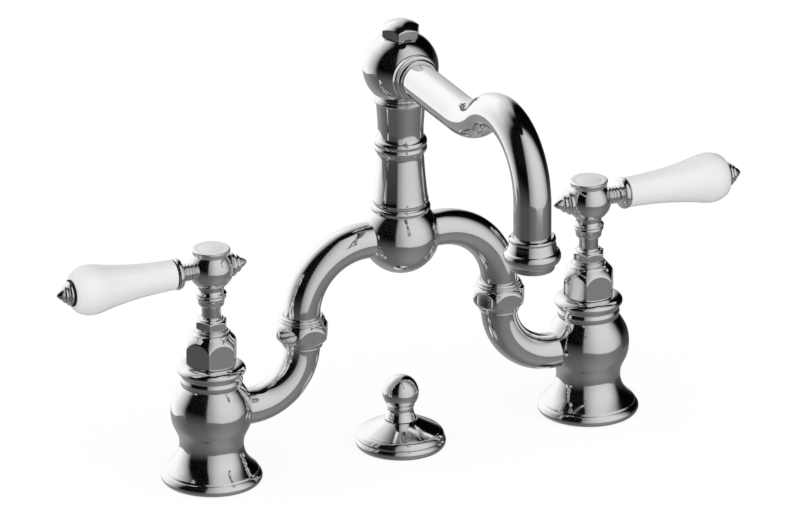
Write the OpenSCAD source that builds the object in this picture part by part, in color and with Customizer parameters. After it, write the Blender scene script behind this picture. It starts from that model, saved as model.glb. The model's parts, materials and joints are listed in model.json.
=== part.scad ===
// Three-hole basin mixer: two taps joined by a bridge, with a swivel spout on a
// central column, porcelain levers and a lift knob for the pop-up waste.
// The origin is on the deck, midway between the taps. The spout points along -Y.

/* [Layout] */
// Distance between the axes of the hot and cold taps
tap_centres = 203.2; // [197:0.2:230]
// Height of the side outlet of each tap above the deck
outlet_z = 35.1; // [34:0.1:37]
// Distance from a tap's axis to its union
union_reach = 48.6; // [47:0.1:52]
// Distance from the column's axis to the outlet of the spout
spout_reach = 146.6; // [135:0.2:175]

/* [Tap body] */
// Radius of the foot's rim
foot_r = 24.8; // [24:0.1:27]
// Height of the foot's rim bead
foot_rim_h = 5.2; // [4:0.1:6]
// Radius of the waist above the foot
waist_r = 15.7; // [15:0.1:17]
// Height of the waist
waist_z = 19.8; // [18.5:0.1:20.5]
// Greatest radius of the bulb
bulb_r = 20; // [19.5:0.1:22]
// Height of the bulb's widest place
bulb_z = 36.8; // [36:0.1:38]
// Radius of the neck under the cup
neck_r = 14.9; // [14:0.1:16]
// Height at which the neck begins
neck_z = 50.4; // [49.5:0.1:51.5]
// Radius of the cup that holds the bonnet
cup_r = 16.9; // [16.2:0.1:19]
// Height of the cup's edge
cup_z = 61.3; // [60.5:0.1:64]
// Depth of the cup below its edge
cup_depth = 1.7; // [1:0.1:2.2]
// Radius of the water chamber round the cartridge
chamber_r = 13; // [11.5:0.1:13.6]

/* [Bonnet and gland] */
// Corner radius of the bonnet's hexagon
bonnet_hex_r = 13.5; // [13:0.1:14]
// Height of the bonnet above the cup's floor
bonnet_h = 18.9; // [17:0.1:22]
// Corner radius of the gland nut's hexagon
gland_hex_r = 8.1; // [7.8:0.1:8.8]
// Height of the gland nut
gland_h = 7.5; // [6.5:0.1:10]
// Bare length of the stem between gland nut and handle
stem_show = 5.8; // [3:0.1:9]
// Radius of the stem
stem_r = 4.65; // [4.2:0.05:4.9]

/* [Cartridge] */
// Height of the seat that the cartridge stands on
seat_z = 23; // [22.5:0.1:24]
// Outer radius of the cartridge
cartridge_r = 9.4; // [9:0.1:10]
// Length of the cartridge
cartridge_h = 25; // [24:0.1:26]
// Inner radius of the cartridge
cartridge_bore_r = 7.45; // [7.2:0.05:7.8]
// Thickness of each ceramic disc
disc_t = 3; // [2.5:0.1:3.4]
// Height of the rubber seal under the discs
seat_seal_h = 4; // [3.5:0.1:4.5]

/* [Bridge] */
// Outer radius of the elbows and the bridge arms
pipe_r = 8.85; // [8:0.05:9.3]
// Bore radius of the elbows and the bridge arms
pipe_bore_r = 6.5; // [5.5:0.1:7]
// Bend radius of the lower elbows
elbow_bend_r = 28; // [25:0.1:30]
// Bend radius of the bridge arms
arm_bend_r = 33; // [30:0.1:34.5]
// Straight length of each arm between its flange and its bend
arm_tail_h = 6.8; // [6.8:0.1:14]
// Corner radius of the union nut's hexagon
union_hex_r = 14; // [13.6:0.1:15]
// Radius of the threaded end inside each union
union_thread_r = 10.5; // [10.2:0.1:10.8]
// Radius of the ball where the arms meet
hub_ball_r = 19; // [18:0.1:21]

/* [Column] */
// Length of the column from the bridge ball to the swivel
column_h = 56.8; // [50:0.2:90]
// Radius of the column's base ring
column_base_r = 14.5; // [14.2:0.1:16]
// Radius at the foot of the column's taper
column_foot_r = 13.3; // [12.8:0.1:14]
// Radius at the head of the column's taper
column_waist_r = 11.3; // [10.8:0.1:12]
// Height of the double bead above the column's base
bead_z = 31.2; // [28:0.2:36]
// Radius of the double bead
bead_r = 12.85; // [12.4:0.05:14]
// Radius of the flange that carries the spout's ball
swivel_flange_r = 13.2; // [12.8:0.1:14.5]

/* [Spout] */
// Radius of the spout's ball
ball_r = 18.5; // [18:0.1:20.5]
// Outer radius of the spout's tube
spout_r = 9.15; // [8.4:0.05:9.5]
// Bore radius of the spout's tube
spout_bore_r = 7; // [6:0.1:7.2]
// Bend radius where the spout turns up
dip_bend_r = 25; // [20:0.2:30]
// Bend radius of the hump over the outlet
hump_bend_r = 33; // [28:0.2:36]
// Drop from the tube's axis to the centre of the hump
hump_drop = 16.8; // [12:0.2:19]
// Drop from the tube's axis to the end of the tube
spout_drop = 34.5; // [30:0.2:55]
// Greatest radius of the outlet's bell
bell_r = 13.9; // [13.2:0.1:15]
// Height of the outlet's bell
bell_h = 14; // [13.4:0.1:18]
// Radius of the aerator's rim
aerator_r = 10.95; // [10.6:0.05:11.4]
// Height of the aerator's rim
aerator_rim_h = 3.1; // [2.5:0.1:5]
// Radius of one hole in the aerator's insert
jet_r = 0.6; // [0.4:0.05:0.7]
// Radius of the post that the spout turns on
post_r = 6.5; // [6.3:0.05:7]
// Corner radius of the cap nut on the ball
cap_hex_r = 9.9; // [9.5:0.1:11]

/* [Handles] */
// Radius of the handle's ball
knuckle_r = 11.15; // [10.9:0.05:12.5]
// Height from the foot of the handle to the ball's centre
knuckle_z = 19.3; // [18.9:0.1:21]
// Radius of the index cap's rim
index_r = 9.4; // [8.8:0.1:10.5]
// Radius of the handle screw's head
screw_head_r = 3.5; // [3:0.1:3.8]

/* [Levers] */
// Distance from the tap's axis to the inner end of the grip's seat
grip_start = 19.8; // [18.8:0.1:24]
// Length of the porcelain grip
grip_l = 54; // [48:0.2:70]
// Radius of the grip at its inner end
grip_inner_r = 7.4; // [7:0.1:8]
// Greatest radius of the grip
grip_outer_r = 12.3; // [11:0.1:14]
// Length of the grip's domed end
grip_dome_l = 10.3; // [9.5:0.1:11]
// Radius of the threaded rod through the grip
rod_r = 2.5; // [2:0.1:2.8]
// Length of the finial at the lever's end
finial_l = 7.4; // [6.5:0.1:10]
// Radius of the finial's widest ring at the lever's end
finial_r = 6.3; // [5.6:0.1:7]
// Length of the finial behind the handle
rear_finial_l = 9.5; // [8:0.1:12]
// Radius of the widest ring of the finial behind the handle
rear_finial_r = 6.1; // [5.4:0.1:6.6]

/* [Pop-up lift] */
// Radius of the escutcheon's rim
escutcheon_r = 22.2; // [20:0.1:26]
// Height of the escutcheon
escutcheon_h = 13.8; // [13.5:0.1:18]
// Radius of the lift knob's ball
knob_r = 8.9; // [8:0.1:11]
// Height of the lift knob
knob_h = 22.4; // [20.8:0.1:26]
// Radius of the lift knob's foot
knob_foot_r = 7.4; // [7:0.1:8]
// Radius of the lift rod
lift_rod_r = 3; // [2.6:0.1:3.4]
// Radius of the lift rod's turned-down end, which the waste's strap clamps
rod_end_r = 2.4; // [1.8:0.1:2.5]
// Height that the knob can be lifted
lift_travel = 18; // [10:1:25]

/* [Below the deck] */
// Thickness of the deck that the taps clamp
deck_t = 20; // [10:1:40]
// Radius of the shank where it passes through the deck
shank_r = 10; // [9.6:0.05:10.2]
// Thread radius of the shank
thread_r = 10.48; // [10.4:0.02:10.7]
// Bore radius of the shank
shank_bore_r = 7; // [6:0.1:7.5]
// Length of the shank below the deck's underside
shank_tail = 40; // [34:0.5:60]
// Length of the inlet thread at the shank's end
inlet_l = 12; // [10:0.5:16]
// Corner radius of the backnut's hexagon
backnut_hex_r = 17.3; // [16:0.1:20]
// Height of the backnut
backnut_h = 8; // [6:0.5:10]
// Radius of the backing washer
washer_r = 22; // [20:0.5:28]
// Thread radius of the lift guide
guide_r = 6; // [5.5:0.1:6.3]
// Length of the turned-down end of the lift rod
rod_end_l = 15; // [10:0.5:25]
// Length of the full-width rod that is left below its guide when the knob is lifted
rod_reserve = 12; // [5:0.5:40]

/* [Fits] */
// Radial clearance between a turning or sliding piece and its bore
running_fit = 0.05; // [0.02:0.01:0.09]
// Gap between pieces that move past each other with no fit
free_gap = 0.3; // [0.3:0.05:0.5]

/* [Hidden] */
$fn = 96;

hot = -1;
cold = 1;
// A cutter passes its surface by this much
past = 1;
chrome = "gainsboro";
brass = "darkkhaki";
ceramic = "white";
rubber = "dimgray";
plastic = "whitesmoke";

// Heights up a tap
bulb_under_h = 13;
bulb_under_in = 3.65;
cup_floor_z = cup_z - cup_depth;
seal_t = 2;
socket_top_z = seat_z - 4;
seat_bore_r = 6;
bonnet_top_z = cup_floor_z + bonnet_h;
gland_top_z = bonnet_top_z + gland_h;
handle_z = gland_top_z + stem_show;
lever_z = handle_z + knuckle_z;
cartridge_top_z = seat_z + cartridge_h;
fixed_disc_z = seat_z + seat_seal_h;
moving_disc_z = fixed_disc_z + disc_t + running_fit;
moving_disc_top_z = moving_disc_z + disc_t;
spindle_shoulder_z = moving_disc_top_z + 3.4;
spindle_shoulder_t = 2.5;
cartridge_ledge_z = spindle_shoulder_z + spindle_shoulder_t + running_fit;
drive_bar_l = 13;
drive_depth = 1;
packing_depth = 9.5;
packing_z = bonnet_top_z - packing_depth;
packing_t = 3;
gland_thread_r = 6.2;
bonnet_bore_r = 7.5;

// The union and the bridge
socket_x = 16.5;
elbow_bend_x = union_reach - elbow_bend_r;
elbow_top_z = outlet_z + elbow_bend_r;
union_tail_h = 6.9;
union_seal_z = elbow_top_z + union_tail_h;
union_seal_t = 1;
arm_flange_z = union_seal_z + union_seal_t;
arm_flange_t = 2;
union_nut_z = elbow_top_z - 0.2;
union_lip_t = 2;
union_hex_top_z = arm_flange_z + arm_flange_t + union_lip_t;
union_ring_h = 2.8;
union_x = tap_centres / 2 - union_reach;
arm_bend_x = union_x - arm_bend_r;
bridge_z = arm_flange_z + arm_tail_h + arm_bend_r;
hub_socket_x = 13.5;
hub_top = 13.2;

// The column, the swivel and the spout
column_z = bridge_z + hub_top;
column_top_z = column_z + column_h;
column_spigot_r = 9.5;
column_spigot_h = 5.5;
column_bore_r = 7;
post_thread_r = 7.5;
post_thread_h = 14.8;
post_bore_r = 3.5;
swivel_washer_t = 0.75;
ball_base_z = column_top_z + swivel_washer_t + running_fit;
ball_neck_r = 12.6;
ball_z = ball_base_z + ball_r - 1.8;
ball_top_r = 8.8;
ball_top_z = ball_z + sqrt(ball_r * ball_r - ball_top_r * ball_top_r);
cap_z = ball_top_z + running_fit + swivel_washer_t;
cap_thread_r = 5;
cap_thread_h = 5.5;
ball_chamber_r = 10.5;
ball_chamber_h = 15;
oring_offset = 11.8;
oring_groove_r = post_r - 1.8;
oring_r = 0.88;
collar_r = 11.75;
collar_seat_d = sqrt(ball_r * ball_r - collar_r * collar_r);
spout_socket_d = 12;
dip_angle = acos((dip_bend_r + hump_drop) / (dip_bend_r + hump_bend_r));
hump_d = spout_reach - hump_bend_r;
dip_d = hump_d - (dip_bend_r + hump_bend_r) * sin(dip_angle);
hump_thinning = 0.02;
hump_lap = 0.7;
spout_end_z = ball_z - spout_drop;
bell_lip = 0.8;
bell_socket_h = 4;
bell_top_z = spout_end_z + bell_lip;
bell_z = bell_top_z - bell_h;
aerator_thread_r = aerator_r - 0.95;
aerator_thread_h = 4.6;
aerator_seal_t = 0.8;
aerator_z = bell_z - aerator_rim_h;
aerator_bore_r = 8.4;
aerator_lip_r = 7.8;
aerator_lip_h = 1.2;

// The handle and the lever, with distances counted from the tap's axis
handle_neck_r = 6.3;
spigot_r = 4.2;
spigot_h = 6.5;
spigot_start = 4.2;
screw_r = 2;
screw_l = 8;
screw_head_h = 3;
screw_socket_r = 1.73;
web_t = 2.5;
web_z = handle_z + spigot_start + spigot_h;
screw_seat_z = web_z + web_t;
index_seat = 7.5;
index_spigot_r = 5;
index_spigot_h = 5.5;
index_h = 2.8;
collar_base_r = 4.35;
collar_base_d = sqrt(knuckle_r * knuckle_r - collar_base_r * collar_base_r);
rear_base_d = sqrt(knuckle_r * knuckle_r - rear_finial_r * rear_finial_r);
rod_start = 6;
grip_washer_t = 0.5;
grip_washer_r = 6.6;
grip_z0 = grip_start + grip_washer_t;
grip_z1 = grip_z0 + grip_l;
finial_z = grip_z1 + grip_washer_t;
rod_in_finial = 3.6;
grip_bore_r = rod_r + 0.4;

// The pop-up lift
knob_z = escutcheon_h + free_gap;
knob_ball_z = knob_z + knob_h - knob_r;
knob_neck_r = 6.3;
guide_top_z = escutcheon_h - 3.2;
guide_nut_h = 5.5;
guide_nut_hex_r = 9.8;
guide_washer_r = 14;
guide_washer_t = 1.5;
guide_end_z = -deck_t - guide_washer_t - guide_nut_h - 3;
rod_end_z = guide_end_z - lift_travel - rod_reserve - rod_end_l;
boss_r = 8.6;
gasket_inner_r = 14.5;
gasket_t = 1.2;
gasket_r = escutcheon_r - 2.4;

// Below the deck
foot_seal_r = foot_r - 3.8;
foot_seal_bore_r = 13.6;
washer_t = 2;
relief_l = 2;
relief_depth = 1;
shank_end_z = -deck_t - shank_tail;

// Points of an arc from p to q, leaving q out, that bulges by sag to the right of the way from p to q
function bow(p, q, sag, steps = 8) =
    let (chord = q - p)
    let (c = norm(chord))
    let (radius = (c * c / 4 + sag * sag) / (2 * sag))
    let (half = 2 * atan(2 * sag / c))
    let (along = chord / c)
    let (side = [along[1], -along[0]])
    [for (i = [0:steps - 1])
        let (t = half * (2 * i / steps - 1))
        (p + q) / 2 + along * radius * sin(t) + side * (radius * cos(t) - radius + sag)];

// A turned solid from its outline of [radius, height] points
module turned(outline) {
    rotate_extrude()
        polygon(outline);
}

module ring(outer, inner, h) {
    difference() {
        cylinder(r = outer, h = h);
        translate([0, 0, -past])
            cylinder(r = inner, h = h + 2 * past);
    }
}

// A closed ring of round section lying flat
module oring(centre_r, section_r) {
    rotate_extrude()
        translate([centre_r, 0])
            circle(r = section_r);
}

// Part of a torus in the XZ plane, from the angle start above +X
module bend(bend_r, tube_r, start, sweep) {
    rotate([90, 0, 0])
        rotate([0, 0, start])
            rotate_extrude(angle = sweep)
                translate([bend_r, 0])
                    circle(r = tube_r);
}

// A tap's own frame: its outlet points along +X for the hot side and is mirrored for the cold side
module at_tap(side) {
    translate([side * tap_centres / 2, 0, 0])
        mirror([side == cold ? 1 : 0, 0, 0])
            children();
}

// The lever's frame: heights become distances from the tap's axis, outwards
module along_lever() {
    translate([0, 0, lever_z])
        rotate([0, -90, 0])
            children();
}

module behind_lever() {
    translate([0, 0, lever_z])
        rotate([0, 90, 0])
            children();
}

// The spout's frame: +X becomes the spout's direction, -Y
module along_spout() {
    translate([0, 0, ball_z])
        rotate([0, 0, -90])
            children();
}

// Tap body: a hollow casting with a flared foot, a bulb, a neck and a cup
module valve_body() {
    flare_top = foot_rim_h + 1.3;
    color(chrome)
        difference() {
            turned(concat(
                [[0, 0]],
                bow([foot_r - 2.2, 0], [foot_r - 1, foot_rim_h - 0.4], 1.5),
                [[foot_r - 1.2, foot_rim_h], [foot_r - 1.7, foot_rim_h + 0.4]],
                bow([foot_r - 2, flare_top], [waist_r, waist_z], -1.9, 10),
                bow([waist_r, waist_z], [bulb_r - bulb_under_in, bulb_z - bulb_under_h], -0.19, 4),
                bow([bulb_r - bulb_under_in, bulb_z - bulb_under_h], [bulb_r, bulb_z], 0.93, 10),
                bow([bulb_r, bulb_z], [neck_r + 0.8, neck_z - 1], 1.15, 10),
                [[neck_r, neck_z]],
                bow([neck_r, neck_z + 1.2], [neck_r, neck_z + 3.8], 0.35, 6),
                bow([neck_r - 0.1, neck_z + 4.4], [cup_r - 0.7, cup_z - 2.4], -0.7, 8),
                bow([cup_r - 0.7, cup_z - 2.2], [cup_r - 0.6, cup_z], 0.6, 6),
                bow([cup_r - 0.9, cup_z], [bonnet_hex_r + 0.2, cup_floor_z], 0.2, 4),
                [[bonnet_hex_r + 0.2, cup_floor_z], [0, cup_floor_z]]));
            translate([0, 0, -past])
                cylinder(r = foot_seal_r, h = seal_t + past);
            cylinder(r = thread_r, h = socket_top_z);
            cylinder(r = seat_bore_r, h = seat_z + past);
            translate([0, 0, seat_z])
                cylinder(r = chamber_r, h = neck_z - 5.4 - seat_z);
            translate([0, 0, seat_z])
                cylinder(r = thread_r, h = cup_z);
            translate([0, 0, outlet_z])
                rotate([0, 90, 0])
                    cylinder(r = pipe_bore_r, h = bulb_r);
            translate([socket_x, 0, outlet_z])
                rotate([0, 90, 0])
                    cylinder(r = pipe_r, h = bulb_r);
        }
}

// Threaded tail that passes through the deck, with the inlet thread at its end
module shank() {
    relief_z = shank_end_z + inlet_l;
    color(brass)
        difference() {
            turned([
                [0, shank_end_z],
                [thread_r, shank_end_z],
                [thread_r, relief_z],
                [thread_r - relief_depth, relief_z],
                [thread_r - relief_depth, relief_z + relief_l],
                [thread_r, relief_z + relief_l],
                [thread_r, -deck_t],
                [shank_r, -deck_t],
                [shank_r, seal_t],
                [thread_r, seal_t],
                [thread_r, socket_top_z],
                [0, socket_top_z]]);
            translate([0, 0, shank_end_z - past])
                cylinder(r = shank_bore_r, h = socket_top_z - shank_end_z + 2 * past);
        }
}

module hex_nut(hex_r, bore_r, h) {
    difference() {
        cylinder(r = hex_r, h = h, $fn = 6);
        translate([0, 0, -past])
            cylinder(r = bore_r, h = h + 2 * past);
    }
}

module seat_seal() {
    color(rubber)
        translate([0, 0, seat_z])
            ring(cartridge_bore_r - 0.15, 5.2, seat_seal_h);
}

// Two opposite quadrants of a disc, through which the water passes
module disc_ports(start) {
    for (half = [0, 180])
        rotate([0, 0, start + half - 38])
            rotate_extrude(angle = 76)
                translate([1.8, -past])
                    square([4, disc_t + 2 * past]);
}

module fixed_disc() {
    color(ceramic)
        translate([0, 0, fixed_disc_z])
            difference() {
                cylinder(r = cartridge_bore_r - running_fit, h = disc_t);
                disc_ports(0);
            }
}

// The moving disc shuts the ports of the fixed disc at rest and opens them after a quarter turn
module moving_disc() {
    color(ceramic)
        translate([0, 0, moving_disc_z])
            difference() {
                cylinder(r = cartridge_bore_r - running_fit, h = disc_t);
                disc_ports(90);
                translate([-past, -drive_bar_l / 2, disc_t - drive_depth])
                    cube([2 * past, drive_bar_l, disc_t]);
            }
}

// Brass sleeve of the cartridge, with four windows that let the water out
module cartridge() {
    window_w = 7;
    window_z = moving_disc_z + 0.5;
    window_h = spindle_shoulder_z - window_z;
    color(brass)
        difference() {
            translate([0, 0, seat_z])
                cylinder(r = cartridge_r, h = cartridge_h);
            translate([0, 0, seat_z - past])
                cylinder(r = cartridge_bore_r, h = cartridge_ledge_z - seat_z + past);
            translate([0, 0, seat_z])
                cylinder(r = stem_r + running_fit, h = cartridge_h + past);
            for (turn = [0, 90])
                rotate([0, 0, turn])
                    translate([-cartridge_r - past, -window_w / 2, window_z])
                        cube([2 * (cartridge_r + past), window_w, window_h]);
        }
}

// Stem of the cartridge: a drive bar, a shoulder, the stem and a twelve-sided end for the handle
module spindle() {
    spigot_z = handle_z + spigot_start;
    color(brass)
        difference() {
            union() {
                translate([0, 0, moving_disc_top_z])
                    intersection() {
                        cylinder(r = cartridge_bore_r - running_fit - 0.2, h = 4);
                        translate([-2.5, -drive_bar_l / 2, 0])
                            cube([5, drive_bar_l, 4]);
                    }
                translate([-past, -drive_bar_l / 2, moving_disc_top_z - drive_depth])
                    cube([2 * past, drive_bar_l, drive_depth + past]);
                translate([0, 0, spindle_shoulder_z])
                    cylinder(r = cartridge_bore_r - running_fit, h = spindle_shoulder_t);
                translate([0, 0, spindle_shoulder_z])
                    cylinder(r = stem_r, h = spigot_z - spindle_shoulder_z);
                translate([0, 0, spigot_z])
                    cylinder(r = spigot_r, h = spigot_h, $fn = 12);
            }
            translate([0, 0, web_z - screw_l])
                cylinder(r = screw_r, h = screw_l + past);
        }
}

// Domed hexagon that screws into the cup and holds the cartridge down
module bonnet() {
    skirt_r = bonnet_hex_r - 1.3;
    color(chrome)
        difference() {
            union() {
                intersection() {
                    translate([0, 0, cup_floor_z])
                        cylinder(r = bonnet_hex_r, h = bonnet_h, $fn = 6);
                    turned(concat(
                        [[0, cup_floor_z], [skirt_r, cup_floor_z], [skirt_r, cup_floor_z + 1.6]],
                        bow([skirt_r, cup_floor_z + 1.7], [bonnet_hex_r + 0.1, cup_floor_z + 3.8], 0.3, 5),
                        bow([bonnet_hex_r + 0.1, bonnet_top_z - 8.7],
                            [gland_thread_r + 2.2, bonnet_top_z], 0.9, 10),
                        [[gland_thread_r + 2.2, bonnet_top_z], [0, bonnet_top_z]]));
                }
                translate([0, 0, cup_floor_z])
                    cylinder(r = skirt_r, h = 1.8);
                translate([0, 0, cartridge_top_z])
                    cylinder(r = thread_r, h = cup_floor_z - cartridge_top_z + past);
            }
            translate([0, 0, cartridge_top_z - past])
                cylinder(r = bonnet_bore_r, h = packing_z - 3 - cartridge_top_z + past);
            translate([0, 0, cartridge_top_z])
                cylinder(r = stem_r + free_gap, h = bonnet_top_z - cartridge_top_z);
            translate([0, 0, packing_z])
                cylinder(r = gland_thread_r, h = bonnet_top_z - packing_z + past);
        }
}

module gland_packing() {
    color(plastic)
        translate([0, 0, packing_z])
            ring(gland_thread_r, stem_r + running_fit, packing_t);
}

// Small nut on the bonnet that presses the packing round the stem
module gland_nut() {
    flange_h = 0.9;
    hex_top = gland_h - 1.7;
    color(chrome)
        translate([0, 0, bonnet_top_z])
            difference() {
                union() {
                    turned(concat(
                        [[0, 0]],
                        bow([gland_thread_r + 1.8, 0], [gland_thread_r + 1.5, flange_h], 0.25, 4),
                        [[gland_thread_r + 0.6, flange_h + 0.2],
                            [gland_thread_r + 0.6, flange_h + 1], [0, flange_h + 1]]));
                    translate([0, 0, flange_h])
                        cylinder(r = gland_hex_r, h = hex_top - flange_h, $fn = 6);
                    turned(concat(
                        [[0, hex_top - 1], [gland_thread_r + 0.6, hex_top - 1]],
                        bow([gland_hex_r - 1.2, hex_top], [gland_hex_r - 1.5, hex_top + 0.8], 0.2, 4),
                        bow([gland_hex_r - 2.2, hex_top + 0.9], [stem_r + 0.4, gland_h], -0.2, 4),
                        [[stem_r + 0.4, gland_h], [0, gland_h]]));
                    translate([0, 0, packing_z + packing_t - bonnet_top_z])
                        cylinder(r = gland_thread_r, h = bonnet_top_z - packing_z - packing_t + past);
                }
                translate([0, 0, packing_z - bonnet_top_z])
                    cylinder(r = stem_r + running_fit, h = gland_h + bonnet_top_z - packing_z + past);
            }
}

// Elbow from the tap's outlet up to the union, with the threaded end that the union nut grips
module elbow() {
    color(chrome)
        difference() {
            union() {
                translate([socket_x, 0, outlet_z])
                    rotate([0, 90, 0])
                        cylinder(r = pipe_r, h = elbow_bend_x - socket_x);
                translate([elbow_bend_x, 0, elbow_top_z])
                    bend(elbow_bend_r, pipe_r, -90, 90);
                translate([union_reach, 0, elbow_top_z])
                    cylinder(r = union_thread_r, h = union_tail_h);
                translate([union_reach, 0, 0])
                    turned(concat(
                        [[0, union_nut_z - 0.9]],
                        bow([pipe_r + 1.4, union_nut_z - 0.9], [pipe_r + 1.4, union_nut_z], 0.3, 4),
                        [[pipe_r + 1.4, union_nut_z], [pipe_r + 1.4, elbow_top_z + past],
                            [0, elbow_top_z + past]]));
            }
            translate([socket_x - past, 0, outlet_z])
                rotate([0, 90, 0])
                    cylinder(r = pipe_bore_r, h = elbow_bend_x - socket_x + past);
            translate([elbow_bend_x, 0, elbow_top_z])
                bend(elbow_bend_r, pipe_bore_r, -90, 90);
            translate([union_reach, 0, elbow_top_z])
                cylinder(r = pipe_bore_r, h = union_tail_h + past);
        }
}

module union_seal() {
    color(rubber)
        translate([union_reach, 0, union_seal_z])
            ring(union_thread_r - 0.1, pipe_bore_r, union_seal_t);
}

// Hexagon with arched flats and a ring on top, which draws the arm down on the elbow
module union_nut() {
    ring_r = pipe_r + 1.9;
    color(chrome)
        translate([union_reach, 0, 0])
            difference() {
                union() {
                    intersection() {
                        translate([0, 0, union_nut_z])
                            cylinder(r = union_hex_r, h = union_hex_top_z - union_nut_z, $fn = 6);
                        turned(concat(
                            [[0, union_nut_z]],
                            bow([union_hex_r - 2.9, union_nut_z], [union_hex_r + 0.1, union_nut_z + 4], 0.5, 8),
                            bow([union_hex_r + 0.1, union_hex_top_z - 4.2],
                                [union_hex_r - 2.5, union_hex_top_z], 0.5, 8),
                            [[union_hex_r - 2.5, union_hex_top_z], [0, union_hex_top_z]]));
                    }
                    translate([0, 0, union_hex_top_z])
                        turned(concat(
                            [[0, -past], [ring_r, -past]],
                            bow([ring_r + 0.2, 0], [ring_r + 0.1, 1.3], 0.45, 6),
                            bow([ring_r - 0.4, 1.4], [ring_r - 0.6, union_ring_h], 0.35, 6),
                            [[ring_r - 0.8, union_ring_h], [0, union_ring_h]]));
                }
                translate([0, 0, union_nut_z - past])
                    cylinder(r = union_thread_r, h = arm_flange_z + arm_flange_t - union_nut_z + past);
                translate([0, 0, union_nut_z])
                    cylinder(r = pipe_r + 0.1, h = union_hex_top_z);
            }
}

// Bridge arm from the union up and over to the ball
module arm() {
    color(chrome)
        difference() {
            union() {
                translate([hub_socket_x, 0, bridge_z])
                    rotate([0, 90, 0])
                        cylinder(r = pipe_r, h = arm_bend_x - hub_socket_x);
                translate([arm_bend_x, 0, bridge_z - arm_bend_r])
                    bend(arm_bend_r, pipe_r, 0, 90);
                translate([union_x, 0, arm_flange_z])
                    cylinder(r = pipe_r, h = arm_tail_h);
                translate([union_x, 0, arm_flange_z])
                    cylinder(r = union_thread_r - 0.1, h = arm_flange_t);
            }
            translate([hub_socket_x - past, 0, bridge_z])
                rotate([0, 90, 0])
                    cylinder(r = pipe_bore_r, h = arm_bend_x - hub_socket_x + past);
            translate([arm_bend_x, 0, bridge_z - arm_bend_r])
                bend(arm_bend_r, pipe_bore_r, 0, 90);
            translate([union_x, 0, arm_flange_z - past])
                cylinder(r = pipe_bore_r, h = arm_tail_h + past);
        }
}

// Hollow ball where the arms meet, flat on top for the column
module bridge_hub() {
    color(chrome)
        translate([0, 0, bridge_z])
            difference() {
                sphere(r = hub_ball_r);
                translate([0, 0, hub_top])
                    cylinder(r = hub_ball_r, h = hub_ball_r);
                translate([0, 0, hub_top - column_spigot_h])
                    cylinder(r = column_spigot_r, h = hub_ball_r);
                cylinder(r = column_bore_r, h = hub_ball_r);
                for (turn = [0, 180])
                    rotate([0, 0, turn]) {
                        translate([hub_socket_x, 0, 0])
                            rotate([0, 90, 0])
                                cylinder(r = pipe_r, h = hub_ball_r);
                        rotate([0, 90, 0])
                            cylinder(r = pipe_bore_r, h = hub_ball_r);
                    }
            }
}

// Turned column with a base ring, a taper, a double bead, a slim barrel and the swivel's flange
module column() {
    bead_mid = bead_z + 3.2;
    bead_top = bead_z + 6.4;
    barrel_r = column_waist_r - 0.2;
    color(chrome)
        translate([0, 0, column_z])
            difference() {
                turned(concat(
                    [[0, -column_spigot_h], [column_spigot_r, -column_spigot_h], [column_spigot_r, 0]],
                    bow([column_base_r - 0.6, 0], [column_base_r - 0.5, 3.2], 0.55, 6),
                    [[column_foot_r, 3.4], [column_foot_r, 4.1]],
                    bow([column_foot_r, 4.3], [column_foot_r, 6.6], 0.3, 6),
                    bow([column_foot_r - 0.05, 7], [column_waist_r, bead_z - 1.6], -0.2, 8),
                    bow([column_waist_r, bead_z - 1.6], [bead_r - 0.5, bead_z], -0.3, 5),
                    bow([bead_r - 0.5, bead_z], [bead_r - 0.4, bead_mid - 0.1], 0.45, 6),
                    bow([bead_r - 0.4, bead_mid + 0.1], [bead_r - 0.5, bead_top], 0.45, 6),
                    bow([bead_r - 0.5, bead_top], [barrel_r, bead_top + 1.8], -0.3, 5),
                    [[barrel_r, bead_top + 1.8], [barrel_r + 1, column_h - 3]],
                    bow([barrel_r + 1.2, column_h - 2.4], [swivel_flange_r - 0.6, column_h - 2.1], -0.1, 3),
                    bow([swivel_flange_r - 0.6, column_h - 2.1], [swivel_flange_r - 0.6, column_h], 0.6, 6),
                    [[swivel_flange_r - 0.6, column_h], [0, column_h]]));
                translate([0, 0, -column_spigot_h - past])
                    cylinder(r = column_bore_r, h = column_h + column_spigot_h + 2 * past);
                translate([0, 0, column_h - post_thread_h])
                    cylinder(r = post_thread_r, h = post_thread_h + past);
            }
}

// Hollow post that the spout's ball turns on: water leaves it through cross ports into the ball
module swivel_post() {
    port_r = 2.4;
    groove_w = 2;
    color(brass)
        difference() {
            union() {
                translate([0, 0, column_top_z - post_thread_h])
                    cylinder(r = post_thread_r, h = post_thread_h);
                translate([0, 0, column_top_z])
                    cylinder(r = post_r, h = cap_z - column_top_z);
                translate([0, 0, cap_z])
                    cylinder(r = cap_thread_r, h = cap_thread_h);
            }
            translate([0, 0, column_top_z - post_thread_h - past])
                cylinder(r = post_bore_r, h = ball_z + 5 - column_top_z + post_thread_h + past);
            for (turn = [0, 90])
                translate([0, 0, ball_z])
                    rotate([0, 90, turn])
                        translate([0, 0, -post_r - past])
                            cylinder(r = port_r, h = 2 * (post_r + past));
            for (up = [-1, 1])
                translate([0, 0, ball_z + up * oring_offset - groove_w / 2])
                    ring(post_r + past, oring_groove_r, groove_w);
        }
}

module swivel_orings() {
    color(rubber)
        for (up = [-1, 1])
            translate([0, 0, ball_z + up * oring_offset])
                oring(oring_groove_r + oring_r + 0.02, oring_r);
}

module swivel_washers() {
    color(plastic) {
        translate([0, 0, column_top_z])
            ring(ball_neck_r - 0.4, post_r + running_fit, swivel_washer_t);
        translate([0, 0, cap_z - swivel_washer_t])
            ring(ball_top_r, post_r + running_fit, swivel_washer_t);
    }
}

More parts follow.
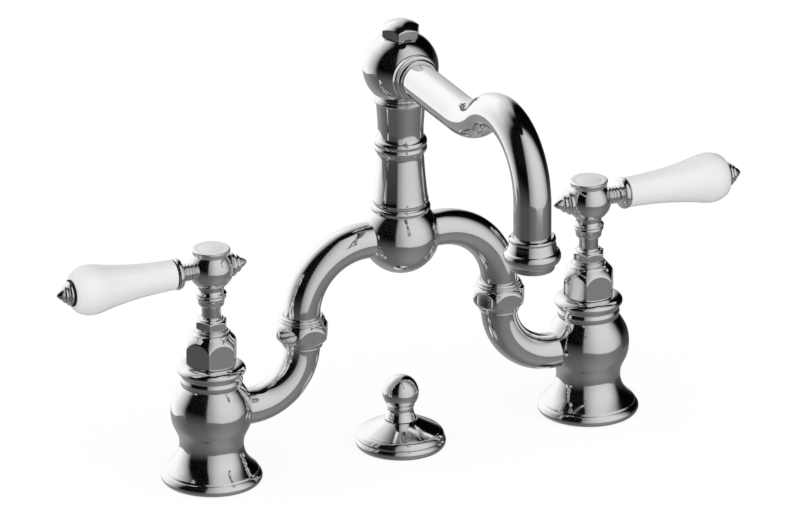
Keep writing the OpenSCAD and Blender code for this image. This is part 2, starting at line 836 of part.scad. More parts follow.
// Domed nut that holds the ball on its post
module cap_nut() {
    hex_h = 5.8;
    dome_h = 2.6;
    color(chrome)
        translate([0, 0, cap_z])
            difference() {
                intersection() {
                    cylinder(r = cap_hex_r, h = hex_h + dome_h, $fn = 6);
                    turned(concat(
                        [[0, 0]],
                        bow([cap_hex_r - 1.1, 0], [cap_hex_r + 0.05, 1.2], 0.25, 4),
                        bow([cap_hex_r + 0.05, hex_h - 1], [cap_hex_r - 6.4, hex_h + dome_h - 0.4], 0.7, 8),
                        bow([cap_hex_r - 6.4, hex_h + dome_h - 0.4], [0, hex_h + dome_h], 0.1, 4),
                        [[0, hex_h + dome_h]]));
                }
                translate([0, 0, -past])
                    cylinder(r = cap_thread_r, h = cap_thread_h + past);
            }
}

// Ball that turns on the post, with a chamber round the ports and a socket for the spout's tube
module spout_ball() {
    color(chrome)
        difference() {
            union() {
                intersection() {
                    translate([0, 0, ball_z])
                        sphere(r = ball_r);
                    translate([0, 0, ball_base_z])
                        cylinder(r = ball_r + past, h = ball_top_z - ball_base_z);
                }
                translate([0, 0, ball_base_z])
                    cylinder(r = ball_neck_r, h = 5.2);
            }
            translate([0, 0, ball_base_z - past])
                cylinder(r = post_r + running_fit, h = 2 * ball_r);
            translate([0, 0, ball_z - ball_chamber_h / 2])
                cylinder(r = ball_chamber_r, h = ball_chamber_h);
            along_spout()
                rotate([0, 90, 0]) {
                    cylinder(r = spout_bore_r, h = ball_r + past);
                    translate([0, 0, spout_socket_d])
                        cylinder(r = spout_r, h = ball_r);
                    translate([0, 0, collar_seat_d])
                        cylinder(r = ball_r, h = ball_r);
                }
        }
}

// Stepped ring that covers the joint between ball and tube
module spout_collar() {
    color(chrome)
        along_spout()
            rotate([0, 90, 0])
                turned(concat(
                    [[spout_r, collar_seat_d], [collar_r - 0.3, collar_seat_d]],
                    bow([collar_r - 0.2, collar_seat_d + 0.3], [collar_r - 0.2, collar_seat_d + 3.8], 0.35, 6),
                    [[collar_r - 0.9, collar_seat_d + 4.1], [collar_r - 1.2, collar_seat_d + 4.2]],
                    bow([collar_r - 1.2, collar_seat_d + 4.4], [collar_r - 1.5, collar_seat_d + 6.2], 0.25, 6),
                    [[spout_r + 0.7, collar_seat_d + 6.6], [spout_r, collar_seat_d + 6.6]]));
}

// The tube's route as a solid of the given radius: level run, dip, hump and drop.
// The hump is a hair thinner than the dip and laps into it, which makes one sound solid of them.
module spout_route(r, extra) {
    translate([spout_socket_d - extra, 0, 0])
        rotate([0, 90, 0])
            cylinder(r = r, h = dip_d - spout_socket_d + extra);
    translate([dip_d, 0, dip_bend_r])
        bend(dip_bend_r, r, -90, dip_angle);
    translate([hump_d, 0, -hump_drop])
        bend(hump_bend_r, r - hump_thinning, 0, 90 + dip_angle + hump_lap);
    translate([spout_reach, 0, -spout_drop - extra])
        cylinder(r = r - hump_thinning, h = spout_drop - hump_drop + extra);
}

module spout_tube() {
    color(chrome)
        along_spout()
            difference() {
                spout_route(spout_r, 0, $fn = 64);
                spout_route(spout_bore_r, past, $fn = 48);
            }
}

// Bell at the spout's end, with the socket for the tube above and the aerator's thread below
module outlet_bell() {
    color(chrome)
        translate([0, -spout_reach, bell_z])
            difference() {
                turned(concat(
                    [[0, 0]],
                    bow([aerator_r + 0.5, 0], [bell_r, 3.9], 0.75, 8),
                    bow([bell_r, 3.9], [bell_r - 1.1, 6.6], 0.35, 5),
                    [[bell_r - 1.5, 6.8]],
                    bow([bell_r - 1.6, 7], [spout_r + 2.2, bell_h - 2.8], -0.15, 6),
                    [[spout_r + 1.9, bell_h - 2.5]],
                    bow([spout_r + 1.9, bell_h - 2.4], [spout_r + 1.9, bell_h - 0.5], 0.35, 6),
                    [[spout_r + 1.2, bell_h], [0, bell_h]]));
                translate([0, 0, -past])
                    cylinder(r = aerator_thread_r, h = aerator_thread_h + aerator_seal_t + past);
                cylinder(r = spout_bore_r, h = bell_h);
                translate([0, 0, bell_h - bell_lip - bell_socket_h])
                    cylinder(r = spout_r - hump_thinning, h = bell_h);
            }
}

module aerator_seal() {
    color(rubber)
        translate([0, -spout_reach, bell_z + aerator_thread_h])
            ring(aerator_thread_r - 0.1, spout_bore_r, aerator_seal_t);
}

module aerator_housing() {
    color(chrome)
        translate([0, -spout_reach, aerator_z])
            difference() {
                turned(concat(
                    [[0, 0]],
                    bow([aerator_r - 0.8, 0], [aerator_r, 0.9], 0.25, 4),
                    [[aerator_r, 0.9], [aerator_r, aerator_rim_h], [aerator_thread_r, aerator_rim_h],
                        [aerator_thread_r, aerator_rim_h + aerator_thread_h],
                        [0, aerator_rim_h + aerator_thread_h]]));
                translate([0, 0, -past])
                    cylinder(r = aerator_lip_r, h = aerator_rim_h + past);
                translate([0, 0, aerator_lip_h])
                    cylinder(r = aerator_bore_r, h = aerator_rim_h + aerator_thread_h);
            }
}

// Plastic insert that breaks the stream, with rings of holes round a centre hole
module aerator_insert() {
    insert_h = 3;
    pitch = 2.3;
    color(plastic)
        translate([0, -spout_reach, aerator_z + aerator_lip_h])
            difference() {
                cylinder(r = aerator_bore_r, h = insert_h);
                translate([0, 0, -past])
                    cylinder(r = jet_r, h = insert_h + 2 * past);
                for (row = [1:3])
                    for (k = [1:6 * row])
                        rotate([0, 0, 60 * k / row])
                            translate([row * pitch, 0, -past])
                                cylinder(r = jet_r, h = insert_h + 2 * past);
            }
}

// Handle: a ringed collar and a ball, bored for the stem, the screw, the index cap and the lever
module handle() {
    neck_top = knuckle_z - sqrt(knuckle_r * knuckle_r - handle_neck_r * handle_neck_r) + 0.4;
    color(chrome)
        difference() {
            union() {
                translate([0, 0, handle_z])
                    turned(concat(
                        [[0, 0]],
                        bow([stem_r + 0.8, 0], [6.4, 1.2], 0.2, 4),
                        [[6.5, 3], [6.8, 3.5]],
                        bow([6.8, 3.9], [6.8, 5.4], 0.4, 6),
                        bow([6.8, 5.6], [6.8, 7], 0.4, 6),
                        bow([6.6, 7.3], [6.2, 8.6], -0.1, 4),
                        [[handle_neck_r, neck_top - 1.2], [handle_neck_r, neck_top], [0, neck_top]]));
                translate([0, 0, lever_z])
                    sphere(r = knuckle_r);
            }
            translate([0, 0, lever_z + index_seat])
                cylinder(r = knuckle_r, h = knuckle_r);
            translate([0, 0, handle_z - past])
                cylinder(r = stem_r, h = spigot_start + past);
            translate([0, 0, handle_z])
                cylinder(r = spigot_r, h = spigot_start + spigot_h, $fn = 12);
            translate([0, 0, handle_z])
                cylinder(r = screw_r + 0.1, h = knuckle_z);
            translate([0, 0, screw_seat_z])
                cylinder(r = screw_head_r + 0.4, h = knuckle_z);
            translate([0, 0, lever_z + index_seat - index_spigot_h])
                cylinder(r = index_spigot_r, h = knuckle_r);
            along_lever() {
                translate([0, 0, collar_base_d])
                    cylinder(r = knuckle_r, h = knuckle_r);
                translate([0, 0, rod_start])
                    cylinder(r = rod_r, h = knuckle_r);
            }
            behind_lever() {
                translate([0, 0, rear_base_d])
                    cylinder(r = knuckle_r, h = knuckle_r);
                translate([0, 0, rod_start])
                    cylinder(r = rod_r, h = knuckle_r);
            }
        }
}

module handle_screw() {
    color(brass)
        difference() {
            union() {
                translate([0, 0, web_z - screw_l + past])
                    cylinder(r = screw_r, h = screw_l + web_t - past);
                translate([0, 0, screw_seat_z])
                    cylinder(r = screw_head_r, h = screw_head_h);
            }
            translate([0, 0, screw_seat_z + screw_head_h / 2])
                cylinder(r = screw_socket_r, h = screw_head_h, $fn = 6);
        }
}

// Plain index cap that plugs the handle's top
module index_cap() {
    color(chrome)
        translate([0, 0, lever_z + index_seat])
            turned(concat(
                [[0, -index_spigot_h + 0.5], [index_spigot_r, -index_spigot_h + 0.5], [index_spigot_r, 0]],
                bow([index_r - 1.6, 0], [index_r - 0.1, index_h - 1.7], -0.25, 5),
                bow([index_r, index_h - 1.5], [index_r - 0.5, index_h], 0.2, 5),
                bow([index_r - 0.5, index_h], [index_r - 1.4, index_h], 0.1, 3),
                bow([index_r - 1.4, index_h], [index_r - 2, index_h - 0.45], -0.1, 4),
                [[index_r - 2, index_h - 0.45], [0, index_h - 0.3]]));
}

// Outline of a finial: a stack of rings that shrink towards a rounded tip
function finial_outline(base_r, length) =
    let (ring_l = length * 0.2)
    concat(
        [[0, 0]],
        [for (i = [0:2])
            each bow([base_r * (0.93 - 0.2 * i), i * ring_l + 0.12],
                [base_r * (0.86 - 0.2 * i), (i + 1) * ring_l - 0.12], 0.4, 5)],
        bow([base_r * 0.42, 3 * ring_l], [base_r * 0.12, length], 0.35, 6),
        [[0, length + 0.05]]);

module rear_finial() {
    color(chrome)
        behind_lever() {
            translate([0, 0, rear_base_d])
                turned(finial_outline(rear_finial_r, rear_finial_l));
            translate([0, 0, rod_start])
                cylinder(r = rod_r, h = rear_base_d - rod_start + past);
        }
}

// Three small rings and a ferrule with a flat end that the grip bears on
module lever_collar() {
    ring_l = (grip_start - 4.8 - collar_base_d) / 3;
    color(chrome)
        along_lever()
            difference() {
                turned(concat(
                    [[0, collar_base_d]],
                    [for (i = [0:2])
                        each bow([collar_base_r - 0.6, collar_base_d + i * ring_l + 0.05],
                            [collar_base_r - 0.6, collar_base_d + (i + 1) * ring_l - 0.05], 0.6, 6)],
                    bow([collar_base_r - 0.5, grip_start - 4.8],
                        [grip_inner_r - 0.3, grip_start - 2.9], -0.5, 6),
                    bow([grip_inner_r - 0.2, grip_start - 2.8],
                        [grip_inner_r + 0.3, grip_start - 0.3], 0.35, 6),
                    [[grip_inner_r, grip_start], [0, grip_start]]));
                cylinder(r = rod_r, h = grip_start + past);
            }
}

module lever_rod() {
    color(brass)
        along_lever()
            translate([0, 0, rod_start])
                cylinder(r = rod_r, h = finial_z + rod_in_finial - rod_start);
}

module grip_washers() {
    color(rubber)
        along_lever()
            for (z = [grip_start, grip_z1])
                translate([0, 0, z])
                    ring(grip_washer_r, grip_bore_r, grip_washer_t);
}

// Porcelain grip: slim by the handle, swelling to a bell with a domed end
module grip() {
    shoulder = grip_z1 - grip_dome_l;
    color(ceramic)
        along_lever()
            difference() {
                turned(concat(
                    [[0, grip_z0], [grip_inner_r - 0.5, grip_z0]],
                    bow([grip_inner_r - 0.3, grip_z0 + 0.1], [grip_inner_r, grip_z0 + 0.8], 0.15, 4),
                    bow([grip_inner_r, grip_z0 + 0.9], [grip_outer_r - 0.7, grip_z0 + grip_l * 0.7], -1, 14),
                    bow([grip_outer_r - 0.7, grip_z0 + grip_l * 0.7],
                        [grip_outer_r - 0.25, shoulder + 2], 0.45, 8),
                    bow([grip_outer_r - 0.25, shoulder + 2],
                        [grip_washer_r + 0.3, grip_z1 - 0.15], 1.25, 12),
                    [[grip_washer_r + 0.1, grip_z1], [0, grip_z1]]));
                cylinder(r = grip_bore_r, h = grip_z1 + past);
            }
}

module end_finial() {
    color(chrome)
        along_lever()
            translate([0, 0, finial_z])
                difference() {
                    turned(finial_outline(finial_r, finial_l));
                    translate([0, 0, -past])
                        cylinder(r = rod_r, h = rod_in_finial + past);
                }
}

// Hollow cover of the third hole, with two beads and a conical top
module escutcheon() {
    rim_h = 4.2;
    step_h = 8;
    color(chrome)
        difference() {
            turned(concat(
                [[0, 0]],
                bow([escutcheon_r - 1.2, 0], [escutcheon_r - 0.5, rim_h], 0.75, 8),
                bow([escutcheon_r - 0.8, rim_h + 0.2], [escutcheon_r - 2.6, step_h - 0.1], 0.55, 8),
                [[escutcheon_r - 2.9, step_h]],
                bow([escutcheon_r - 3, step_h + 0.2], [boss_r - 0.4, escutcheon_h], 0.35, 6),
                [[boss_r - 0.4, escutcheon_h], [0, escutcheon_h]]));
            translate([0, 0, -past])
                cylinder(r = gasket_r, h = gasket_t + past);
            turned([
                [boss_r, gasket_t - 0.1],
                [escutcheon_r - 3.8, gasket_t - 0.1],
                [escutcheon_r - 5, 5.5],
                [boss_r, escutcheon_h - 5.2]]);
            translate([0, 0, -past])
                cylinder(r = guide_r, h = guide_top_z + past);
            cylinder(r = lift_rod_r + free_gap + 0.1, h = escutcheon_h + past);
        }
}

// Threaded tube that clamps the escutcheon to the deck and guides the lift rod
module lift_guide() {
    color(brass)
        translate([0, 0, guide_end_z])
            ring(guide_r, lift_rod_r + running_fit, guide_top_z - guide_end_z);
}

module lift_knob() {
    neck_z = knob_ball_z - sqrt(knob_r * knob_r - knob_neck_r * knob_neck_r);
    color(chrome)
        difference() {
            union() {
                turned(concat(
                    [[0, knob_z]],
                    bow([knob_foot_r, knob_z], [knob_neck_r, neck_z - 1.5], 0.15, 8),
                    bow([knob_neck_r, neck_z - 1.4], [knob_neck_r, neck_z + 0.2], 0.25, 5),
                    [[knob_neck_r, neck_z + 0.3], [0, neck_z + 0.3]]));
                translate([0, 0, knob_ball_z])
                    sphere(r = knob_r);
            }
            translate([0, 0, knob_z - past])
                cylinder(r = lift_rod_r, h = knob_ball_z - knob_z + past);
        }
}

module lift_rod() {
    color(brass) {
        translate([0, 0, rod_end_z])
            cylinder(r = rod_end_r, h = rod_end_l);
        translate([0, 0, rod_end_z + rod_end_l])
            cylinder(r = lift_rod_r, h = knob_ball_z - rod_end_z - rod_end_l);
    }
}

module both_taps() {
    for (side = [hot, cold])
        at_tap(side)
            children();
}

module deck_seals() {
    both_taps()
        color(rubber)
            ring(foot_seal_r, foot_seal_bore_r, seal_t);
    color(rubber)
        ring(gasket_r, gasket_inner_r, gasket_t);
}

module backing_washers() {
    both_taps()
        color(brass)
            translate([0, 0, -deck_t - washer_t])
                ring(washer_r, thread_r + 0.12, washer_t);
    color(brass)
        translate([0, 0, -deck_t - guide_washer_t])
            ring(guide_washer_r, guide_r + 0.1, guide_washer_t);
}

module backnuts() {
    both_taps()
        color(brass)
            translate([0, 0, -deck_t - washer_t - backnut_h])
                hex_nut(backnut_hex_r, thread_r, backnut_h);
    color(brass)
        translate([0, 0, -deck_t - guide_washer_t - guide_nut_h])
            hex_nut(guide_nut_hex_r, guide_r, guide_nut_h);
}

at_tap(hot) valve_body();  // hot_valve_body
at_tap(cold) valve_body();  // cold_valve_body
at_tap(hot) shank();  // hot_shank
at_tap(cold) shank();  // cold_shank
deck_seals();
backing_washers();
backnuts();
both_taps() seat_seal();  // seat_seals
both_taps() fixed_disc();  // fixed_discs
at_tap(hot) cartridge();  // hot_cartridge
at_tap(cold) cartridge();  // cold_cartridge
at_tap(hot) bonnet();  // hot_bonnet
at_tap(cold) bonnet();  // cold_bonnet
both_taps() gland_packing();  // gland_packings
both_taps() gland_nut();  // gland_nuts
at_tap(hot) elbow();  // hot_elbow
at_tap(cold) elbow();  // cold_elbow
both_taps() union_seal();  // union_seals
both_taps() union_nut();  // union_nuts
mirror([1, 0, 0]) arm();  // hot_arm
arm();  // cold_arm
bridge_hub();
column();
swivel_post();
swivel_orings();
swivel_washers();
cap_nut();
spout_ball();
spout_collar();
spout_tube();
outlet_bell();
aerator_seal();
aerator_insert();
aerator_housing();
at_tap(hot) spindle();  // hot_spindle
at_tap(hot) moving_disc();  // hot_moving_disc
at_tap(hot) handle();  // hot_handle
at_tap(hot) handle_screw();  // hot_handle_screw
at_tap(hot) index_cap();  // hot_index_cap
at_tap(hot) rear_finial();  // hot_rear_finial
at_tap(hot) lever_collar();  // hot_lever_collar
at_tap(hot) lever_rod();  // hot_lever_rod
at_tap(hot) grip_washers();  // hot_grip_washers
at_tap(hot) grip();  // hot_grip
at_tap(hot) end_finial();  // hot_end_finial
at_tap(cold) spindle();  // cold_spindle
at_tap(cold) moving_disc();  // cold_moving_disc
at_tap(cold) handle();  // cold_handle
at_tap(cold) handle_screw();  // cold_handle_screw
at_tap(cold) index_cap();  // cold_index_cap
at_tap(cold) rear_finial();  // cold_rear_finial
at_tap(cold) lever_collar();  // cold_lever_collar
at_tap(cold) lever_rod();  // cold_lever_rod
at_tap(cold) grip_washers();  // cold_grip_washers
at_tap(cold) grip();  // cold_grip
at_tap(cold) end_finial();  // cold_end_finial
escutcheon();
lift_guide();
lift_knob();
lift_rod();
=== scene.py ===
import json
import math

import bpy
import numpy as np
from mathutils import Matrix, Vector

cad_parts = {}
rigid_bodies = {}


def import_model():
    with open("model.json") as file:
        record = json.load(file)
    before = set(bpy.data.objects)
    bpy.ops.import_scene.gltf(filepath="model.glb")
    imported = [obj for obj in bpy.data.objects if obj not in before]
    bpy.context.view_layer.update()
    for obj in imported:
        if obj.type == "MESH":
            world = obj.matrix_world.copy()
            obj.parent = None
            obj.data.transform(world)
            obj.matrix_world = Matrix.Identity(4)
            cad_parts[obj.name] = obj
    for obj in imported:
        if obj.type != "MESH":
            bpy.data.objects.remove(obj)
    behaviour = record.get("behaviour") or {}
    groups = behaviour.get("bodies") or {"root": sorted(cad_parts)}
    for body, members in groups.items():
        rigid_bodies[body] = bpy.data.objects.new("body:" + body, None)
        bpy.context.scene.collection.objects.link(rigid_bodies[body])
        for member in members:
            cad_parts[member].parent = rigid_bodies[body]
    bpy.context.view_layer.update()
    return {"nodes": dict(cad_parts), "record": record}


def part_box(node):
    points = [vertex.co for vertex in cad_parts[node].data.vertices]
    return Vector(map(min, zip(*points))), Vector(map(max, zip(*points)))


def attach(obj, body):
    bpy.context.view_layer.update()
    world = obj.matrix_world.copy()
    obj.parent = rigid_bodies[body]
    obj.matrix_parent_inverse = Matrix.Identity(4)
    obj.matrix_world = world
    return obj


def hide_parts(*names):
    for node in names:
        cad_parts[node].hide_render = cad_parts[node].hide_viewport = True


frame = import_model()

# Camera. The mixer is seen from a little left of its middle and from above, through a
# very long lens, so that upright and level lines stay nearly parallel.
MM = 0.001
VIEW_TURN = math.radians(-25.5)
VIEW_RISE = math.radians(22.45)
VIEW_DISTANCE = 10.797
VIEW_TARGET = Vector((-0.0003, 0.0001, 0.0992))
view_right = Vector((math.cos(VIEW_TURN), math.sin(VIEW_TURN), 0))
view_near = Vector((math.sin(VIEW_TURN), -math.cos(VIEW_TURN), 0))
view_back = view_near * math.cos(VIEW_RISE) + Vector((0, 0, math.sin(VIEW_RISE)))



def linked(name, data):
    """A new object of the scene that holds a camera or a mesh."""
    made = bpy.data.objects.new(name, data)
    bpy.context.scene.collection.objects.link(made)
    return made


camera = linked("camera", bpy.data.cameras.new("camera"))
camera.data.lens = 1000
camera.data.sensor_width = 36
camera.data.clip_end = 100
camera.location = VIEW_TARGET + view_back * VIEW_DISTANCE
camera.rotation_mode = "QUATERNION"
camera.rotation_quaternion = (-view_back).to_track_quat("-Z", "Y")
bpy.context.scene.camera = camera
bpy.context.scene.view_settings.view_transform = "Standard"


# Tap bodies. Each is one hollow brass casting with a flared foot, a bulb, a neck and a cup,
# turned on a lathe, buffed to a mirror and plated with nickel and chrome.
def linear(colour):
    """An sRGB hex colour as linear red, green, blue and an alpha of one."""
    parts = [int(colour[i:i + 2], 16) / 255 for i in (1, 3, 5)]
    return [c / 12.92 if c <= 0.04045 else ((c + 0.055) / 1.055) ** 2.4 for c in parts] + [1.0]


def add(tree, kind, links=None, **settings):
    """A new node with its settings. Its links give an input a value or another node's output."""
    made = tree.nodes.new(kind)
    for name, value in settings.items():
        setattr(made, name, value)
    for name, value in (links or {}).items():
        if isinstance(value, bpy.types.NodeSocket):
            tree.links.new(value, made.inputs[name])
        else:
            made.inputs[name].default_value = value
    return made


def finish_of(name, colour, metallic, **constants):
    """A new material with a Principled shader. Returns the material, its tree and the shader."""
    made = bpy.data.materials.new(name)
    made.use_nodes = True
    tree = made.node_tree
    shader = tree.nodes["Principled BSDF"]
    shader.inputs["Base Color"].default_value = linear(colour)
    shader.inputs["Metallic"].default_value = metallic
    for socket, value in constants.items():
        shader.inputs[socket.replace("_", " ")].default_value = value
    made.diffuse_color = linear(colour)
    return made, tree, shader


def surfaced(name, colour, metallic, patches, waves, **constants):
    """A finish in soft patches of a size and two roughnesses, with waves of a size and a depth."""
    made, tree, shader = finish_of(name, colour, metallic, **constants)
    patch_mm, low, high = patches
    wave_mm, depth_mm = waves
    place = add(tree, "ShaderNodeTexCoord").outputs["Object"]
    cloud = add(tree, "ShaderNodeTexNoise", {"Vector": place, "Scale": 1 / (patch_mm * MM),
                "Detail": 2.0, "Roughness": 0.55})
    spread = add(tree, "ShaderNodeMapRange", {"Value": cloud.outputs["Fac"], "From Min": 0.3,
                 "From Max": 0.7, "To Min": low, "To Max": high})
    tree.links.new(spread.outputs["Result"], shader.inputs["Roughness"])
    swell = add(tree, "ShaderNodeTexNoise", {"Vector": place, "Scale": 1 / (wave_mm * MM), "Detail": 1.0})
    bump = add(tree, "ShaderNodeBump", {"Height": swell.outputs["Fac"], "Strength": 1.0,
               "Distance": depth_mm * MM})
    tree.links.new(bump.outputs["Normal"], shader.inputs["Normal"])
    return made


# Chrome on buffed brass: a mirror, with the faint waviness that hand buffing leaves over
# some 7 mm, and patches of slightly softer polish.
CHROME_COLOUR = "#EBECED"
chrome = surfaced("polished_chrome_plate", CHROME_COLOUR, 1.0, (9, 0.055, 0.085), (7, 0.002))


def bow(p, q, sag, steps=10):
    """Points of an arc from p towards q, without q, that bulges by sag to the right of the way."""
    p, q = np.array(p, float), np.array(q, float)
    chord = np.linalg.norm(q - p)
    radius = (chord * chord / 4 + sag * sag) / (2 * sag)
    half = 2 * math.atan(2 * sag / chord)
    along = (q - p) / chord
    side = np.array((along[1], -along[0]))
    turns = [half * (2 * i / steps - 1) for i in range(steps)]
    return [tuple((p + q) / 2 + along * radius * math.sin(t)
                  + side * (radius * math.cos(t) - radius + sag)) for t in turns]


def flow(points, steps=8):
    """Points of the smoothest curve through the given ones, without the last."""
    given = np.array(points, float)
    gaps = np.linalg.norm(np.diff(given, axis=0), axis=1)
    count = len(given)
    left = np.eye(count)
    right = np.zeros((count, 2))
    for i in range(1, count - 1):
        left[i, i - 1:i + 2] = gaps[i - 1], 2 * (gaps[i - 1] + gaps[i]), gaps[i]
        right[i] = 6 * ((given[i + 1] - given[i]) / gaps[i] - (given[i] - given[i - 1]) / gaps[i - 1])
    bend = np.linalg.solve(left, right)
    made = []
    for i, gap in enumerate(gaps):
        for t in np.arange(steps) / steps:
            s = 1 - t
            made.append(tuple(s * given[i] + t * given[i + 1] + gap * gap / 6
                              * ((s ** 3 - s) * bend[i] + (t ** 3 - t) * bend[i + 1])))
    return made


def eased(outline, radius):
    """The outline with each corner of more than 24 degrees rounded, as buffing leaves it."""
    least = math.radians(24)
    closed = outline[0][0] > 0 and outline[-1][0] > 0
    count = len(outline)
    made = []
    for i, corner in enumerate(outline):
        if not closed and i in (0, count - 1):
            made.append(tuple(corner))
            continue
        b = Vector(corner)
        into = b - Vector(outline[i - 1])
        out = Vector(outline[(i + 1) % count]) - b
        turn = into.angle(out)
        if turn < least:
            made.append(tuple(corner))
            continue
        cut = min(radius * math.tan(turn / 2), 0.42 * into.length, 0.42 * out.length)
        start, end = b - into.normalized() * cut, b + out.normalized() * cut
        if into.length > 6 * cut:
            made.append(tuple(start - into.normalized() * cut * 0.4))
        made += [tuple(start.lerp(b, t).lerp(b.lerp(end, t), t)) for t in (0, 0.35, 0.65, 1)]
        if out.length > 6 * cut:
            made.append(tuple(end + out.normalized() * cut * 0.4))
    return made


def woven(columns):
    """Vertices and faces of columns of points set side by side round an axis.
    Points on the axis become one pole, and a column that starts off the axis closes on itself."""
    columns = np.array(columns)
    sides, count = columns.shape[:2]
    on_axis = [np.ptp(columns[:, i], axis=0).max() < 1e-9 for i in range(count)]
    verts, rows = [], []
    for i in range(count):
        taken = columns[:1, i] if on_axis[i] else columns[:, i]
        rows.append([len(verts) + (0 if on_axis[i] else j) for j in range(sides)])
        verts += [tuple(v) for v in taken]
    closed = not on_axis[0] and not on_axis[-1]
    faces = []
    for i in range(count if closed else count - 1):
        low, high = rows[i], rows[(i + 1) % count]
        for j in range(sides):
            k = (j + 1) % sides
            face = list(dict.fromkeys((low[j], low[k], high[k], high[j])))
            if len(face) > 2:
                faces.append(face)
    return verts, faces


def turned(outline, sides=96, ease=0.25):
    """Vertices and faces of a piece turned on a lathe from its outline of radius and height."""
    points = eased(outline, ease) if ease else outline
    angles = [2 * math.pi * j / sides for j in range(sides)]
    return woven([[(r * math.cos(a), r * math.sin(a), z) for r, z in points] for a in angles])


def standing(x, y=0.0, z=0.0):
    """The place of a piece on an upright axis, in millimetres."""
    return Matrix.Translation((x, y, z))


def made_of(name, shapes, material, body, slot, *nodes):
    """One piece from shapes and their places in millimetres, which stands for its CAD nodes."""
    verts, faces = [], []
    for (points, loops), place in shapes:
        start = len(verts)
        verts += [(place @ Vector(v)) * MM for v in points]
        flipped = place.determinant() < 0
        faces += [[start + i for i in (reversed(f) if flipped else f)] for f in loops]
    mesh = bpy.data.meshes.new(name)
    mesh.from_pydata(verts, [], faces)
    mesh.materials.append(material)
    return dressed(name, mesh, body, slot, *nodes)


def dressed(name, mesh, body, slot, *nodes):
    """The piece of a finished mesh: smooth but for its sharpest edges, and tied to the frame."""
    mesh.shade_smooth()
    mesh.set_sharp_from_angle(angle=math.radians(40))
    piece = linked(name, mesh)
    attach(piece, body)
    if nodes:
        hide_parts(*nodes)
    return piece


def plated(name, shapes, body, *nodes):
    """One chrome-plated piece from shapes and their places, which stands for its CAD nodes."""
    return made_of(name, shapes, chrome, body, "chrome_plate", *nodes)


def extent(node):
    """Lowest and highest corner of a CAD node in millimetres."""
    low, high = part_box(node)
    return low / MM, high / MM


low, high = extent("hot_valve_body")
tap_x = (low.x + high.x) / 2
foot_r = (high.x - low.x) / 2
cup_z = high.z
TAPS = {"hot": tap_x, "cold": -tap_x}
foot_wall = 3.8
foot_rim_h = 5.2
flare, waist, shoulder = (17.57, 12.26), (15.7, 19.4), (16.35, 23.8)
bulb_foot, bulb, bulb_head = (19.07, 30.05), (20.0, 36.8), (18.94, 43.47)
neck_r = 14.9
neck_z = 50.4
cup_r = 16.9
cup_floor_z = cup_z - 1.7
skirt_r = 11.55
socket_r = 10.48
socket_h = 19.0
seat_bore_r = 6.0
seat_z = 23.0
body_outline = (
    [(socket_r, socket_h), (socket_r, 2), (foot_r - foot_wall, 2), (foot_r - foot_wall, 0)]
    + bow((foot_r - 2.2, 0), (foot_r - 1, foot_rim_h - 0.4), 1.55, 14)
    + [(foot_r - 1.15, foot_rim_h), (foot_r - 1.7, foot_rim_h + 0.4)]
    + flow([(foot_r - 2, foot_rim_h + 1.3), flare, waist, shoulder, bulb_foot, bulb, bulb_head,
            (neck_r + 0.8, neck_z - 1)], 9)
    + [(neck_r + 0.8, neck_z - 1), (neck_r, neck_z)]
    + bow((neck_r, neck_z + 1.2), (neck_r, neck_z + 3.8), 0.4, 8)
    + bow((neck_r - 0.1, neck_z + 4.4), (cup_r - 0.5, cup_z - 4.1), -0.3, 10)
    + bow((cup_r - 0.4, cup_z - 4), (cup_r - 0.9, cup_z - 1.5), 0.5, 10)
    + bow((cup_r - 0.9, cup_z - 1.5), (cup_r - 2.1, cup_z - 0.7), 0.05, 5)
    + bow((cup_r - 2.1, cup_z - 0.7), (skirt_r + 0.3, cup_z), 0.12, 6)
    + [(skirt_r + 0.2, cup_z - 0.05), (skirt_r + 0.05, cup_z - 0.2), (skirt_r + 0.05, cup_floor_z),
       (socket_r, cup_floor_z), (socket_r, seat_z), (seat_bore_r, seat_z), (seat_bore_r, socket_h)])
for side, x in TAPS.items():
    plated(f"{side}_tap_body", [(turned(body_outline, 112), standing(x))], "fixed_frame",
           f"{side}_valve_body")


